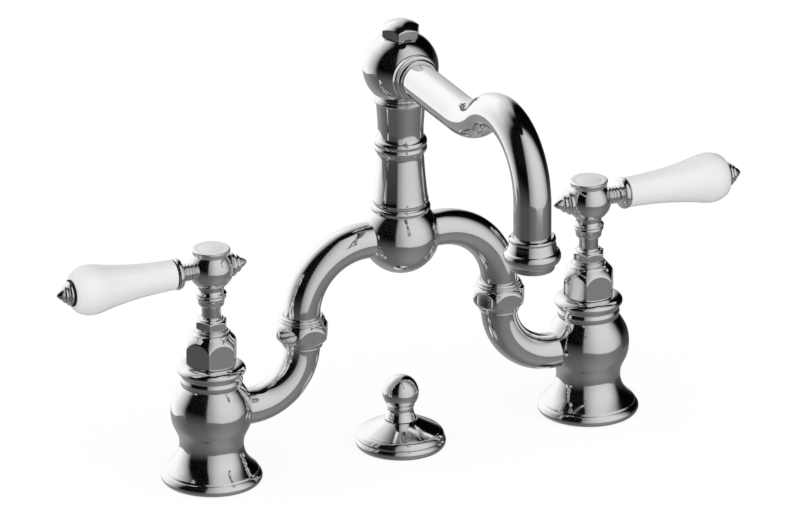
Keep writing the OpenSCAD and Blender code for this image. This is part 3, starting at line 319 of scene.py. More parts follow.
# Bonnets. A domed brass hexagon screws into each cup and holds the cartridge down. Its
# flats are milled and its edges are buffed over before plating.
def hexed(below, rising, falling, above, corner_r, ease):
    """Vertices and faces of a turned piece with six flats milled on it. The rising and falling
    stretches of its outline run out past the corners, and each flat cuts them in an arch."""
    columns_each = 10
    flat_share = math.cos(math.pi / 6)
    flat_r = corner_r * flat_share
    round_d = (flat_r - ease) / flat_share
    edge = math.atan2(ease * 0.5, round_d + ease * flat_share)
    steps = [0, edge * 0.5, edge, edge * 1.3]
    steps += list(np.linspace(edge * 1.3, math.pi / 3 - edge * 1.3, columns_each + 1))[1:-1]
    steps += [math.pi / 3 - s for s in (edge * 1.3, edge, edge * 0.5)]
    widest = min(rising[-1][0], falling[0][0]) - 0.02

    def reach(step):
        step = min(step, math.pi / 3 - step)
        if step < edge:
            corner = round_d * math.cos(step) + math.sqrt(ease ** 2 - (round_d * math.sin(step)) ** 2)
            return min(corner, widest)
        return min(flat_r / math.cos(step - math.pi / 6), widest)

    def part(line, radius):
        line = np.array(line, float)
        line = line if line[0, 0] < line[-1, 0] else line[::-1]
        ends = np.interp(radius, line[:, 0], np.arange(len(line)))
        where = np.linspace(0, ends, 9)
        spots = np.arange(len(line))
        return [(np.interp(w, spots, line[:, 0]), np.interp(w, spots, line[:, 1])) for w in where]

    columns = []
    for turn in range(6):
        for step in steps:
            radius = reach(step)
            up = part(rising, radius)
            down = part(falling, radius)[::-1]
            foot, head = Vector(up[-1]), Vector(down[0])
            cut = min(ease, (head - foot).length * 0.25)
            rise = (head - foot).normalized() * cut
            before = foot + (Vector(up[-2]) - foot).normalized() * cut
            beyond = head + (Vector(down[1]) - head).normalized() * cut
            line = (list(below) + up[:-1]
                    + [before, (before + foot + rise) / 4 + foot / 2, foot + rise, foot + rise * 1.8]
                    + [head - rise * 1.8, head - rise, (beyond + head - rise) / 4 + head / 2, beyond]
                    + down[1:] + list(above))
            angle = turn * math.pi / 3 + step
            columns.append([(p[0] * math.cos(angle), p[0] * math.sin(angle), p[1]) for p in line])
    return woven(columns)


bonnet_z = extent("hot_bonnet")[1].z
bonnet_h = bonnet_z - cup_floor_z
bonnet_r = 13.5
dome_top_r = 9.7
bonnet_rim_r = 8.4
stem_hole_r = 5.2
bonnet_shape = hexed(
    [(stem_hole_r, 0.4), (skirt_r - 0.2, 0.05), (skirt_r, 0.2)],
    [(skirt_r - 0.05, 1.6)] + bow((skirt_r, 1.7), (bonnet_r + 0.1, 3.8), 0.3) + [(bonnet_r + 0.1, 3.8)],
    bow((bonnet_r + 0.1, bonnet_h - 8.7), (dome_top_r, bonnet_h - 1.7), 0.75, 14)
    + bow((dome_top_r, bonnet_h - 1.7), (bonnet_rim_r, bonnet_h - 0.5), 0.3, 6)
    + [(bonnet_rim_r, bonnet_h - 0.5)],
    [(bonnet_rim_r - 0.5, bonnet_h - 0.45), (bonnet_rim_r - 0.6, bonnet_h), (stem_hole_r, bonnet_h)],
    bonnet_r, 0.45)
for side, x in TAPS.items():
    plated(f"{side}_bonnet_hexagon", [(bonnet_shape, standing(x, 0, cup_floor_z))], "fixed_frame",
           f"{side}_bonnet")

# Gland nuts. A small nut of plated brass on each bonnet presses a slippery packing round the
# stem, so that no water creeps up it. It has a thin flange below and a coned top.
gland_z = extent("gland_nuts")[1].z
gland_h = gland_z - bonnet_z
flange_r = 8.0
gland_neck_r = 6.8
gland_cone_r = 6.5
gland_r = 8.1
stem_r = 4.65
gland_top_h = gland_h - 1.7
gland_shape = hexed(
    [(stem_r + 0.1, 0.02), (flange_r - 0.2, 0.02)]
    + bow((flange_r, 0.1), (flange_r - 0.3, 0.9), 0.25, 6)
    + [(gland_neck_r + 0.6, 0.95), (gland_neck_r, 1.1), (gland_neck_r, 1.5)],
    [(gland_neck_r + 0.05, 1.52), (gland_neck_r + 0.2, 1.56), (gland_r + 0.05, 2.2)],
    [(gland_r + 0.05, gland_top_h - 0.5), (gland_neck_r + 0.15, gland_top_h),
     (gland_neck_r + 0.05, gland_top_h + 0.04)],
    [(gland_cone_r + 0.1, gland_top_h + 0.3), (gland_cone_r, gland_top_h + 0.8)]
    + bow((gland_cone_r - 0.5, gland_top_h + 0.9), (stem_r + 0.5, gland_h), -0.2, 6)
    + [(stem_r + 0.5, gland_h), (stem_r + 0.1, gland_h)], gland_r, 0.25)
plated("gland_nut_pair", [(gland_shape, standing(x, 0, bonnet_z)) for x in TAPS.values()],
       "fixed_frame", "gland_nuts")


# Elbows. Drawn brass tube bent through a quarter circle carries the water from each tap
# up to its union. A ring is brazed on its end for the union nut to bear on.
def tree_of(name, **inputs):
    """A new node tree that makes one shape from named inputs of given kinds, and those inputs."""
    tree = bpy.data.node_groups.new(name, "GeometryNodeTree")
    for label, kind in inputs.items():
        tree.interface.new_socket(label.replace("_", " "), in_out="INPUT", socket_type=f"NodeSocket{kind}")
    tree.interface.new_socket("Shape", in_out="OUTPUT", socket_type="NodeSocketGeometry")
    return tree, add(tree, "NodeGroupInput").outputs


def made_real(tree, shape, finish):
    """Ends a node tree with its shape, made real and of one material."""
    real = add(tree, "GeometryNodeRealizeInstances", {"Geometry": shape})
    painted = add(tree, "GeometryNodeSetMaterial", {"Geometry": real.outputs["Geometry"], "Material": finish})
    add(tree, "NodeGroupOutput", {"Shape": painted.outputs["Geometry"]})
    return tree


def swept_tree():
    """The node tree of a tube bent along a path, with its bore cut right through it."""
    tree, given = tree_of("bent_tube", Path="Geometry", Outer_Radius="Float", Bore_Radius="Float",
                          Overrun="Float", Sides="Int", Finish="Material")
    path = add(tree, "GeometryNodeMeshToCurve", {"Mesh": given["Path"]}).outputs["Curve"]
    length = add(tree, "GeometryNodeCurveLength", {"Curve": path}).outputs["Length"]
    end = add(tree, "ShaderNodeMath", {0: length, 1: given["Overrun"]}, operation="SUBTRACT")
    trimmed = add(tree, "GeometryNodeTrimCurve", {"Curve": path}, mode="LENGTH")
    numbers = [s for s in trimmed.inputs if s.type == "VALUE" and s.enabled]
    tree.links.new(given["Overrun"], numbers[-2])
    tree.links.new(end.outputs[0], numbers[-1])
    walls = []
    for line, radius in ((trimmed.outputs["Curve"], "Outer Radius"), (path, "Bore Radius")):
        ring = add(tree, "GeometryNodeCurvePrimitiveCircle", {"Resolution": given["Sides"],
                   "Radius": given[radius]}, mode="RADIUS")
        walls.append(add(tree, "GeometryNodeCurveToMesh", {"Curve": line, "Fill Caps": True,
                     "Profile Curve": ring.outputs["Curve"]}).outputs["Mesh"])
    bored = add(tree, "GeometryNodeMeshBoolean", {"Mesh 1": walls[0]}, operation="DIFFERENCE")
    tree.links.new(walls[1], bored.inputs["Mesh 2"])
    return made_real(tree, bored.outputs["Mesh"], given["Finish"])


def grown(tree, start, edges, faces, **inputs):
    """The plain mesh that a node tree makes from a starting mesh and its named inputs."""
    mesh = bpy.data.meshes.new("start")
    mesh.from_pydata([Vector(p) * MM for p in start], edges, faces)
    holder = linked("holder", mesh)
    modifier = holder.modifiers.new(tree.name, "NODES")
    modifier.node_group = tree
    sockets = {item.name: item.identifier for item in tree.interface.items_tree
               if item.item_type == "SOCKET" and item.in_out == "INPUT"}
    for name, value in inputs.items():
        modifier[sockets[name.replace("_", " ")]] = value
    bpy.context.view_layer.update()
    graph = bpy.context.evaluated_depsgraph_get()
    made = bpy.data.meshes.new_from_object(holder.evaluated_get(graph), depsgraph=graph)
    holder.modifiers.clear()
    bpy.data.objects.remove(holder)
    return made


def quarter(centre_x, centre_z, radius, start, sweep, steps=28):
    """Points of an arc in an upright plane, from the angle start in degrees."""
    angles = [math.radians(start + sweep * i / steps) for i in range(steps + 1)]
    return [(centre_x + radius * math.cos(a), centre_z + radius * math.sin(a)) for a in angles]


bent_tube = swept_tree()
OVERRUN = 1.0


def tube(route, outer_r, bore_r, sides=72):
    """Vertices and faces of a tube along a route of upright points, its ends flat and open."""
    path = [(x, 0, z) for x, z in route]
    mesh = grown(bent_tube, path, [(i, i + 1) for i in range(len(path) - 1)], [],
                 Outer_Radius=outer_r * MM, Bore_Radius=bore_r * MM, Overrun=OVERRUN * MM,
                 Sides=sides, Finish=chrome)
    return [v.co / MM for v in mesh.vertices], [list(p.vertices) for p in mesh.polygons]


union_r = 14.0
low, high = extent("union_nuts")
union_x = high.x - union_r
union_nut_z = low.z
union_h = high.z - union_nut_z
union_reach = -tap_x - union_x
pipe_r = 8.85
pipe_bore_r = 6.5
outlet_z = 35.1
elbow_bend_r = 28.0
elbow_top_z = outlet_z + elbow_bend_r
elbow_end_z = extent("hot_elbow")[1].z
socket_x = 16.5
elbow_route = ([(socket_x - OVERRUN, outlet_z)]
               + quarter(union_reach - elbow_bend_r, elbow_top_z, elbow_bend_r, -90, 90)
               + [(union_reach, elbow_end_z + OVERRUN)])
elbow_tube = tube(elbow_route, pipe_r, pipe_bore_r)
ring_r = pipe_r + 0.8
elbow_ring = turned([(pipe_r, elbow_end_z), (pipe_r, union_nut_z - 0.9)]
                    + bow((ring_r, union_nut_z - 0.9), (ring_r, union_nut_z), 0.3, 6)
                    + [(ring_r, union_nut_z), (ring_r, elbow_end_z)], 72, 0.12)
for side, x in TAPS.items():
    facing = standing(x) @ Matrix.Scale(-1 if x > 0 else 1, 4, (1, 0, 0))
    plated(f"{side}_elbow_tube", [(elbow_tube, facing), (elbow_ring, facing @ standing(union_reach))],
           "fixed_frame", f"{side}_elbow")

# Union nuts. A plated brass barrel with six oval flats milled on it and a ring on top draws
# each bridge arm down on its elbow, with a rubber seal between them.
union_flat_top = union_h - 2.8
top_ring_r = pipe_r + 1.9
barrel = bow((union_r - 3.25, 1.7), (union_r - 3.15, union_flat_top + 0.1), 2.8, 48)
widest_at = max(range(len(barrel)), key=lambda i: barrel[i][0])
union_shape = hexed(
    [(pipe_r + 0.1, 0.02), (pipe_r + 1, 0.02), (pipe_r + 1.2, 1.6)],
    barrel[:widest_at + 1], barrel[widest_at:] + [(union_r - 3.15, union_flat_top + 0.1)],
    [(top_ring_r + 0.15, union_flat_top + 0.15)]
    + bow((top_ring_r + 0.2, union_flat_top + 0.2), (top_ring_r + 0.1, union_flat_top + 1.35), 0.45, 8)
    + bow((top_ring_r - 0.4, union_flat_top + 1.4), (top_ring_r - 0.6, union_h - 0.1), 0.35, 7)
    + [(top_ring_r - 0.7, union_h), (pipe_r + 0.1, union_h)], union_r, 0.45)
plated("union_nut_pair", [(union_shape, standing(x, 0, union_nut_z)) for x in (-union_x, union_x)],
       "fixed_frame", "union_nuts")

# Bridge arms. The same tube rises from each union and bends over into the ball in the
# middle, so that hot and cold water meet under the column.
arm_low, arm_high = extent("hot_arm")
bridge_z = arm_high.z - pipe_r
arm_foot_z = arm_low.z
arm_bend_r = 33.0
hub_socket_x = 13.5
arm_route = ([(hub_socket_x - OVERRUN, bridge_z)]
             + quarter(union_x - arm_bend_r, bridge_z - arm_bend_r, arm_bend_r, 90, -90, 32)
             + [(union_x, arm_foot_z - OVERRUN)])
arm_tube = tube(arm_route, pipe_r, pipe_bore_r)
for side, way in (("hot", -1), ("cold", 1)):
    plated(f"{side}_bridge_arm", [(arm_tube, Matrix.Scale(way, 4, (1, 0, 0)))], "fixed_frame", f"{side}_arm")


# Bridge ball. A hollow brass ball with a socket for each arm, brazed up and buffed, and
# faced flat on top for the column.
def ball_line(radius, height, start, end, count):
    """Points up the outline of a ball about a height, from one latitude to another."""
    return [(round(radius * math.cos(a), 9), height + radius * math.sin(a))
            for a in np.linspace(start, end, count)]


low, high = extent("bridge_hub")
hub_r = (high.y - low.y) / 2
hub_top_z = high.z
hub_outline = ball_line(hub_r, bridge_z, -math.pi / 2, math.asin((hub_top_z - bridge_z) / hub_r), 56)
plated("bridge_ball", [(turned(hub_outline + [(0, hub_top_z)], 112, 0.2), Matrix())],
       "fixed_frame", "bridge_hub")

# Column. Turned from brass bar: a base ring, a slow taper, a double bead and a slim barrel,
# on whose end the spout's ball turns.
column_h = extent("column")[1].z - hub_top_z
base_r = 14.5
taper_r = 13.3
slim_r = 11.3
bead_r = 12.85
bead_z = 31.2
barrel_r = slim_r - 0.2
column_bore_r = 7.0
post_seat_r = 7.5
post_seat_z = 42.0
column_outline = (
    [(column_bore_r, 0.01)]
    + bow((base_r - 0.6, 0), (base_r - 0.5, 3.2), 0.6, 10)
    + [(taper_r, 3.4), (taper_r, 4.2)]
    + bow((taper_r, 4.3), (taper_r, 6.6), 0.35, 8)
    + bow((taper_r - 0.05, 7), (slim_r, bead_z - 1.6), -0.2, 14)
    + bow((slim_r, bead_z - 1.6), (bead_r - 0.5, bead_z), -0.3, 6)
    + bow((bead_r - 0.5, bead_z), (bead_r - 0.4, bead_z + 3.1), 0.5, 8)
    + bow((bead_r - 0.4, bead_z + 3.3), (bead_r - 0.5, bead_z + 6.4), 0.5, 8)
    + bow((bead_r - 0.5, bead_z + 6.4), (barrel_r, bead_z + 8.2), -0.3, 6)
    + [(barrel_r, bead_z + 8.2), (barrel_r + 0.1, bead_z + 13), (barrel_r + 0.9, column_h - 0.3),
       (barrel_r + 0.7, column_h), (post_seat_r, column_h), (post_seat_r, post_seat_z),
       (column_bore_r, post_seat_z)])
plated("column_turning", [(turned(column_outline, 112, 0.2), standing(0, 0, hub_top_z))], "fixed_frame",
       "column")

# Spout ball. A hollow brass ball with a rolled foot turns on a post in the column. A stepped
# collar is brazed on it where the spout's tube comes out.
low, high = extent("spout_ball")
ball_low_z = low.z
ball_top_z = high.z
ball_r = (high.x - low.x) / 2
ball_z = 198.3
post_r = 6.55
ball_foot_r = 13.2
ball_neck_r = 11.4
ball_curve = ball_line(ball_r, ball_z, -math.acos(ball_neck_r / ball_r),
                       math.asin((ball_top_z - ball_z) / ball_r), 56)
ball_outline = (
    [(post_r, ball_low_z), (ball_foot_r - 0.7, ball_low_z), (ball_foot_r - 0.7, ball_low_z - 0.7)]
    + bow((ball_foot_r - 0.4, ball_low_z - 0.7), (ball_foot_r - 0.5, ball_low_z + 1.2), 0.6, 10)
    + [(ball_neck_r + 0.6, ball_low_z + 1.4)] + ball_curve + [(post_r, ball_top_z)])
plated("spout_ball_shell", [(turned(ball_outline, 112, 0.3), Matrix())], "spout", "spout_ball")

SPOUT_WAY = Matrix.Translation((0, 0, ball_z)) @ Matrix.Rotation(math.radians(90), 4, "X")
spout_r = 9.15
collar_r = 11.75
collar_d = math.sqrt(ball_r ** 2 - collar_r ** 2)
collar_outline = (
    [(spout_r, 0)]
    + bow((collar_r - 0.2, 0.3), (collar_r - 0.2, 3.8), 0.4, 8)
    + [(collar_r - 0.9, 4.1), (collar_r - 1.2, 4.2)]
    + bow((collar_r - 1.2, 4.4), (collar_r - 1.5, 6.2), 0.3, 7)
    + [(spout_r + 0.7, 6.5), (spout_r, 6.6)])
plated("spout_collar_ring", [(turned(collar_outline, 80, 0.15), SPOUT_WAY @ standing(0, 0, collar_d))],
       "spout", "spout_collar")

# Spout tube. One length of drawn brass tube, bent level, then up in a short dip and over in
# a hump to the outlet, all in one plane. It is brazed into the ball and buffed.
spout_bore_r = 7.0
spout_root = 12.0
spout_reach = 146.6
dip_bend_r = 39.8
hump_bend_r = 33.0
hump_drop = 16.8
spout_drop = ball_z - extent("spout_tube")[0].z
dip_angle = math.degrees(math.acos((dip_bend_r + hump_drop) / (dip_bend_r + hump_bend_r)))
hump_d = spout_reach - hump_bend_r
dip_d = hump_d - (dip_bend_r + hump_bend_r) * math.sin(math.radians(dip_angle))
spout_route = ([(spout_root - OVERRUN, 0)]
               + quarter(dip_d, dip_bend_r, dip_bend_r, -90, dip_angle, 24)
               + quarter(hump_d, -hump_drop, hump_bend_r, 90 + dip_angle, -90 - dip_angle, 48)[1:]
               + [(spout_reach, -spout_drop - OVERRUN)])
SPOUT_PLANE = Matrix.Translation((0, 0, ball_z)) @ Matrix.Rotation(math.radians(-90), 4, "Z")
plated("spout_bent_tube", [(tube(spout_route, spout_r, spout_bore_r, 80), SPOUT_PLANE)], "spout",
       "spout_tube")

# Outlet. A turned brass bell covers the spout's end, and a screwed aerator housing with a
# moulded insert under it breaks the stream.
low, high = extent("outlet_bell")
bell_z = low.z
bell_h = high.z - bell_z
bell_r = 13.9
rim_r = 10.95
bell_bore_r = 7.0
screw_r = 10.0
screw_h = 5.4
seat_drop = 4.8
OUTLET = standing(0, -spout_reach, bell_z)
bell_outline = (
    [(screw_r, 0), (rim_r + 0.2, 0)]
    + bow((rim_r + 0.5, 0.1), (bell_r, 3.9), 0.75, 12)
    + bow((bell_r, 3.9), (bell_r - 1.1, 6.6), 0.35, 8)
    + [(bell_r - 1.5, 6.8)]
    + bow((bell_r - 1.6, 7), (spout_r + 2.2, bell_h - 2.8), -0.15, 8)
    + [(spout_r + 1.9, bell_h - 2.5)]
    + bow((spout_r + 1.9, bell_h - 2.4), (spout_r + 1.9, bell_h - 0.4), 0.4, 8)
    + [(spout_r + 1.2, bell_h), (spout_r, bell_h), (spout_r, bell_h - seat_drop),
       (bell_bore_r, bell_h - seat_drop), (bell_bore_r, screw_h), (screw_r, screw_h)])
plated("outlet_bell_turning", [(turned(bell_outline, 96, 0.2), OUTLET)], "spout", "outlet_bell")

housing_low = extent("aerator_housing")[0].z - bell_z
housing_r = 9.95
housing_bore_r = 8.4
lip_r = 7.8
lip_h = 1.2
housing_outline = (
    [(lip_r, housing_low), (rim_r - 1, housing_low)]
    + bow((rim_r - 0.8, housing_low + 0.02), (rim_r, housing_low + 0.9), 0.25, 6)
    + [(rim_r, housing_low + 0.9), (rim_r, -0.02), (housing_r, -0.02), (housing_r, 4.5),
       (housing_bore_r, 4.5), (housing_bore_r, housing_low + lip_h), (lip_r, housing_low + lip_h)])
plated("aerator_housing_ring", [(turned(housing_outline, 96, 0.15), OUTLET)], "spout", "aerator_housing")

# Cap nut. A small domed hexagon of plated brass, milled and buffed like the bonnets, screws
# on the end of the post and holds the ball down on its washers.
low, high = extent("cap_nut")
cap_z = low.z - 0.7
cap_h = high.z - 0.95 - cap_z
cap_r = 9.9
cap_foot_r = 8.3
cap_dome_h = 4.15
cap_dome = bow((cap_r + 0.05, cap_h - cap_dome_h), (0, cap_h), 1.04, 26)
cap_shape = hexed(
    [(0, 0), (cap_foot_r, 0)],
    [(cap_foot_r + 0.15, 0.05)] + bow((cap_foot_r + 0.5, 0.1), (cap_r + 0.05, 1.2), 0.25, 6)
    + [(cap_r + 0.05, 1.2)],
    cap_dome[:-5], cap_dome[-5:] + [(0, cap_h)], cap_r, 0.15)
plated("cap_nut_domed", [(cap_shape, standing(0, 0, cap_z))], "fixed_frame", "cap_nut")

# Handles. A turned brass foot with two rings carries a ball, which is pinned on the stem's
# end and bored for the lever. A plain round cap covers its screw.
handle_z = extent("hot_handle")[0].z
handle_foot_r = 6.4
handle_ring_r = 6.8
handle_neck_r = 6.3
knuckle_r = 11.15
knuckle_z = 19.3
index_seat = 7.5
handle_outline = (
    [(stem_r, 0), (stem_r + 0.6, 0)]
    + bow((stem_r + 0.8, 0), (handle_foot_r, 1.2), 0.2, 5)
    + [(handle_foot_r + 0.1, 3), (handle_ring_r, 3.5)]
    + bow((handle_ring_r, 3.9), (handle_ring_r + 0.1, 5.4), 0.45, 8)
    + bow((handle_ring_r + 0.2, 5.6), (handle_ring_r + 0.2, 7), 0.45, 8)
    + bow((handle_neck_r + 0.3, 7.3), (handle_neck_r - 0.1, 8.6), -0.1, 5)
    + [(handle_neck_r, 9.3)]
    + ball_line(knuckle_r, knuckle_z, -math.acos(handle_neck_r / knuckle_r),
                math.asin(index_seat / knuckle_r), 40)
    + [(stem_r, knuckle_z + index_seat)])
index_z = handle_z + knuckle_z + index_seat
index_r = 9.4
index_h = 2.8
groove_r = 6.6
index_outline = (
    [(0, 0), (index_r - 0.7, 0)]
    + bow((index_r - 0.5, 0.1), (index_r, index_h - 0.6), 0.04, 5)
    + bow((index_r, index_h - 0.6), (index_r - 0.55, index_h - 0.05), 0.14, 7)
    + [(groove_r + 0.3, index_h - 0.02), (groove_r, index_h - 0.08), (groove_r - 0.3, index_h - 0.02)]
    + [(0, index_h)])

# Satin chrome: the cap is brushed before plating, so that its flat top glows evenly.
satin = surfaced("satin_chrome_plate", "#F6F6F6", 1.0, (0.6, 0.2, 0.27), (0.4, 0.002))

for side, x in TAPS.items():
    plated(f"{side}_handle_ball", [(turned(handle_outline, 96, 0.15), standing(x, 0, handle_z))],
           f"{side}_lever", f"{side}_handle")
    made_of(f"{side}_index_cap_plain", [(turned(index_outline, 80, 0.12), standing(x, 0, index_z))], satin,
            f"{side}_lever", "chrome_plate", f"{side}_index_cap")


# Levers. A brass rod screwed into the ball carries three small rings, a ferrule, the glazed
# grip and a stepped finial that clamps it. A second finial closes the ball behind.
def lever_way(side, outwards=1):
    """The place of a piece on a lever's axis, where height becomes distance from the tap."""
    way = outwards * (-1 if TAPS[side] < 0 else 1)
    return standing(TAPS[side], 0, handle_z + knuckle_z) @ Matrix.Rotation(math.radians(90 * way), 4, "Y")


def finial(base_r, length):
    """Outline of a finial: two round rings and a blunt cone, each smaller than the last."""
    ring_l = length * 0.29
    rings = []
    for i, share in enumerate((0.95, 0.7)):
        start, end, ring_r = i * ring_l + 0.05, (i + 1) * ring_l - 0.05, base_r * share
        rings += bow((ring_r - 0.6, start), (ring_r - 1.0, end), ring_l * 0.34, 12)
        rings.append((ring_r - 1.5, end + 0.05))
    tip = bow((base_r * 0.46, 2 * ring_l + 0.1), (base_r * 0.16, length - 0.4), 0.25, 8)
    tip += bow((base_r * 0.16, length - 0.4), (0, length), 0.15, 5)
    return [(0, 0), (base_r * 0.75, 0)] + rings + tip + [(0, length)]


rod_r = 2.5
collar_base_r = 4.35
collar_base_d = math.sqrt(knuckle_r ** 2 - collar_base_r ** 2)
grip_start = 19.8
grip_inner_r = 7.4
ferrule_l = 4.8
small_ring = (grip_start - ferrule_l - collar_base_d) / 3
small_ring_r = collar_base_r - 0.55
lever_rings = []
for i in range(3):
    ring_d = collar_base_d + i * small_ring
    lever_rings += bow((small_ring_r, ring_d + 0.08), (small_ring_r, ring_d + small_ring - 0.08), 0.62, 9)
lever_collar_outline = (
    [(r, math.sqrt(knuckle_r ** 2 - r ** 2)) for r in np.linspace(rod_r, collar_base_r - 0.6, 5)]
    + lever_rings
    + bow((collar_base_r - 0.5, grip_start - ferrule_l), (grip_inner_r - 0.3, grip_start - 2.9), -0.5, 8)
    + bow((grip_inner_r - 0.2, grip_start - 2.8), (grip_inner_r + 0.3, grip_start - 0.3), 0.35, 8)
    + [(grip_inner_r, grip_start), (rod_r, grip_start)])
rear_r = 6.1
rear_d = math.sqrt(knuckle_r ** 2 - rear_r ** 2)
rear_l = 9.5
grip_low, grip_high = extent("cold_grip")
grip_d = grip_low.x - TAPS["cold"]
grip_l = grip_high.x - grip_low.x
grip_r = (grip_high.z - grip_low.z) / 2
grip_bore_r = 2.9
finial_d = grip_d + grip_l + 0.5
finial_r = 6.3
finial_l = 7.4
grip_outline = (
    [(grip_bore_r, 0), (grip_inner_r - 0.5, 0)]
    + bow((grip_inner_r - 0.35, 0.05), (grip_inner_r, 0.7), 0.15, 5)
    + flow([(grip_inner_r, 0.8), (7.75, grip_l * 0.2), (9.0, grip_l * 0.45), (11.1, grip_l * 0.68),
            (grip_r, grip_l * 0.815), (11.15, grip_l * 0.925), (8.6, grip_l - 0.9),
            (6.9, grip_l - 0.1)], 10)
    + [(6.7, grip_l), (grip_bore_r, grip_l)])

# Glazed porcelain: a white body under a clear glossy glaze, which lies in soft waves of
# some 5 mm and gives long pale reflections.
porcelain = surfaced("glazed_porcelain", "#F3F3F2", 0.0, (6, 0.10, 0.16), (5, 0.015), IOR=1.52,
                     Coat_Weight=0.35, Coat_Roughness=0.06, Subsurface_Weight=0.08, Subsurface_Scale=0.002)

for side in TAPS:
    out, behind = lever_way(side), lever_way(side, -1)
    body = f"{side}_lever"
    plated(f"{side}_lever_rings", [(turned(lever_collar_outline, 72, 0.1), out)], body,
           f"{side}_lever_collar")
    plated(f"{side}_rear_finial_turning", [(turned(finial(rear_r, rear_l), 64, 0.08),
           behind @ standing(0, 0, rear_d))], body, f"{side}_rear_finial")
    plated(f"{side}_end_finial_turning", [(turned(finial(finial_r, finial_l), 64, 0.08),
           out @ standing(0, 0, finial_d))], body, f"{side}_end_finial")
    made_of(f"{side}_porcelain_grip", [(turned(grip_outline, 96, 0.3), out @ standing(0, 0, grip_d))],
            porcelain, body, "porcelain", f"{side}_grip")

# Pop-up lift. A hollow brass cover hides the third hole of the deck, and a turned knob on a
# rod through it lifts the basin's waste.
low, high = extent("escutcheon")
cover_r = (high.x - low.x) / 2
cover_h = high.z
rim_h = 4.2
step_h = 8.0
boss_r = 8.6
guide_r = 6.0
rod_hole_r = 3.4
top_wall = 3.2
under_h = 2.5
hollow_h = 1.2
cover_outline = (
    [(guide_r, cover_h - top_wall), (guide_r, under_h), (boss_r, under_h), (boss_r, cover_h - 5.2),
     (cover_r - 5, 5.5), (cover_r - 3.8, hollow_h), (cover_r - 2.4, hollow_h), (cover_r - 2.4, 0)]
    + bow((cover_r - 1.2, 0), (cover_r - 0.5, rim_h), 0.8, 12)
    + bow((cover_r - 0.8, rim_h + 0.2), (cover_r - 2.6, step_h - 0.1), 0.6, 12)
    + [(cover_r - 2.9, step_h)]
    + bow((cover_r - 3, step_h + 0.2), (boss_r - 0.4, cover_h), 0.06, 12)
    + [(boss_r - 0.4, cover_h), (rod_hole_r, cover_h), (rod_hole_r, cover_h - top_wall)])
plated("lift_cover", [(turned(cover_outline, 112, 0.2), Matrix())], "fixed_frame", "escutcheon")

low, high = extent("lift_knob")
knob_z = low.z
knob_r = (high.x - low.x) / 2
knob_ball_z = high.z - knob_z - knob_r
knob_foot_r = 7.4
knob_neck_r = 6.3
knob_bore_r = 3.0
neck_at = knob_ball_z - math.sqrt(knob_r ** 2 - knob_neck_r ** 2)
knob_outline = (
    [(knob_bore_r, 0), (knob_foot_r + 0.4, 0)]
    + bow((knob_foot_r + 0.5, 0.1), (knob_neck_r, neck_at - 1.5), -0.5, 12)
    + bow((knob_neck_r, neck_at - 1.4), (knob_neck_r, neck_at + 0.2), 0.3, 7)
    + ball_line(knob_r, knob_ball_z, math.asin((neck_at + 0.25 - knob_ball_z) / knob_r), math.pi / 2, 36)
    + [(0, knob_ball_z)])
plated("lift_knob_turning", [(turned(knob_outline, 96, 0.12), standing(0, 0, knob_z))], "lift", "lift_knob")


# Shanks and lift guide. Brass bar, bored and threaded on a lathe, is brazed into each tap
# and hangs through the deck. The threads take the nuts and the supply hoses.
def thread_tree():
    """The node tree that cuts a thread into the crests of a turned bar, from one height to another."""
    tree, given = tree_of("cut_thread", Bar="Geometry", Axis_X="Float", Crest_Radius="Float", Pitch="Float",
                          Depth="Float", Low_Z="Float", High_Z="Float", Finish="Material")

    def maths(operation, a, b=0.0, **settings):
        return add(tree, "ShaderNodeMath", {0: a, 1: b}, operation=operation, **settings).outputs[0]

    crest_margin = 0.05 * MM
    place = add(tree, "GeometryNodeInputPosition").outputs["Position"]
    parts = add(tree, "ShaderNodeSeparateXYZ", {"Vector": place}).outputs
    x, y, z = maths("SUBTRACT", parts["X"], given["Axis X"]), parts["Y"], parts["Z"]
    radius = maths("SQRT", maths("ADD", maths("MULTIPLY", x, x), maths("MULTIPLY", y, y)))
    turn = maths("DIVIDE", maths("ARCTAN2", y, x), 2 * math.pi)
    phase = maths("FRACT", maths("SUBTRACT", maths("DIVIDE", z, given["Pitch"]), turn))
    groove = maths("ABSOLUTE", maths("SUBTRACT", maths("MULTIPLY", phase, 2.0), 1.0))
    shaped = add(tree, "ShaderNodeMapRange", {"Value": groove, "From Min": 0.1, "From Max": 0.9},
                 interpolation_type="SMOOTHSTEP").outputs["Result"]
    run_in = maths("DIVIDE", maths("SUBTRACT", z, given["Low Z"]), given["Pitch"], use_clamp=True)
    run_out = maths("DIVIDE", maths("SUBTRACT", given["High Z"], z), given["Pitch"], use_clamp=True)
    outside = maths("GREATER_THAN", radius, maths("SUBTRACT", given["Crest Radius"], crest_margin))
    cut = maths("MULTIPLY", maths("MULTIPLY", shaped, outside), maths("MULTIPLY", run_in, run_out))
    share = maths("DIVIDE", maths("MULTIPLY", cut, given["Depth"]), radius)
    shift = add(tree, "ShaderNodeCombineXYZ", {"X": maths("MULTIPLY", x, share),
                "Y": maths("MULTIPLY", y, share)}).outputs["Vector"]
    inwards = add(tree, "ShaderNodeVectorMath", {0: (0, 0, 0), 1: shift}, operation="SUBTRACT")
    moved = add(tree, "GeometryNodeSetPosition", {"Geometry": given["Bar"],
                "Offset": inwards.outputs["Vector"]})
    return made_real(tree, moved.outputs["Geometry"], given["Finish"])


# Machined brass: fine rings of the cutting tool, and a duller film where hands touched it.
BRASS_COLOUR = "#C9A45C"
brass = surfaced("machined_brass", BRASS_COLOUR, 1.0, (1.5, 0.22, 0.34), (0.8, 0.006))

cut_thread = thread_tree()
THREAD_DEPTH = 0.95
SUPPLY_PITCH = 1.81
GUIDE_DEPTH = 0.65
GUIDE_PITCH = 1.25


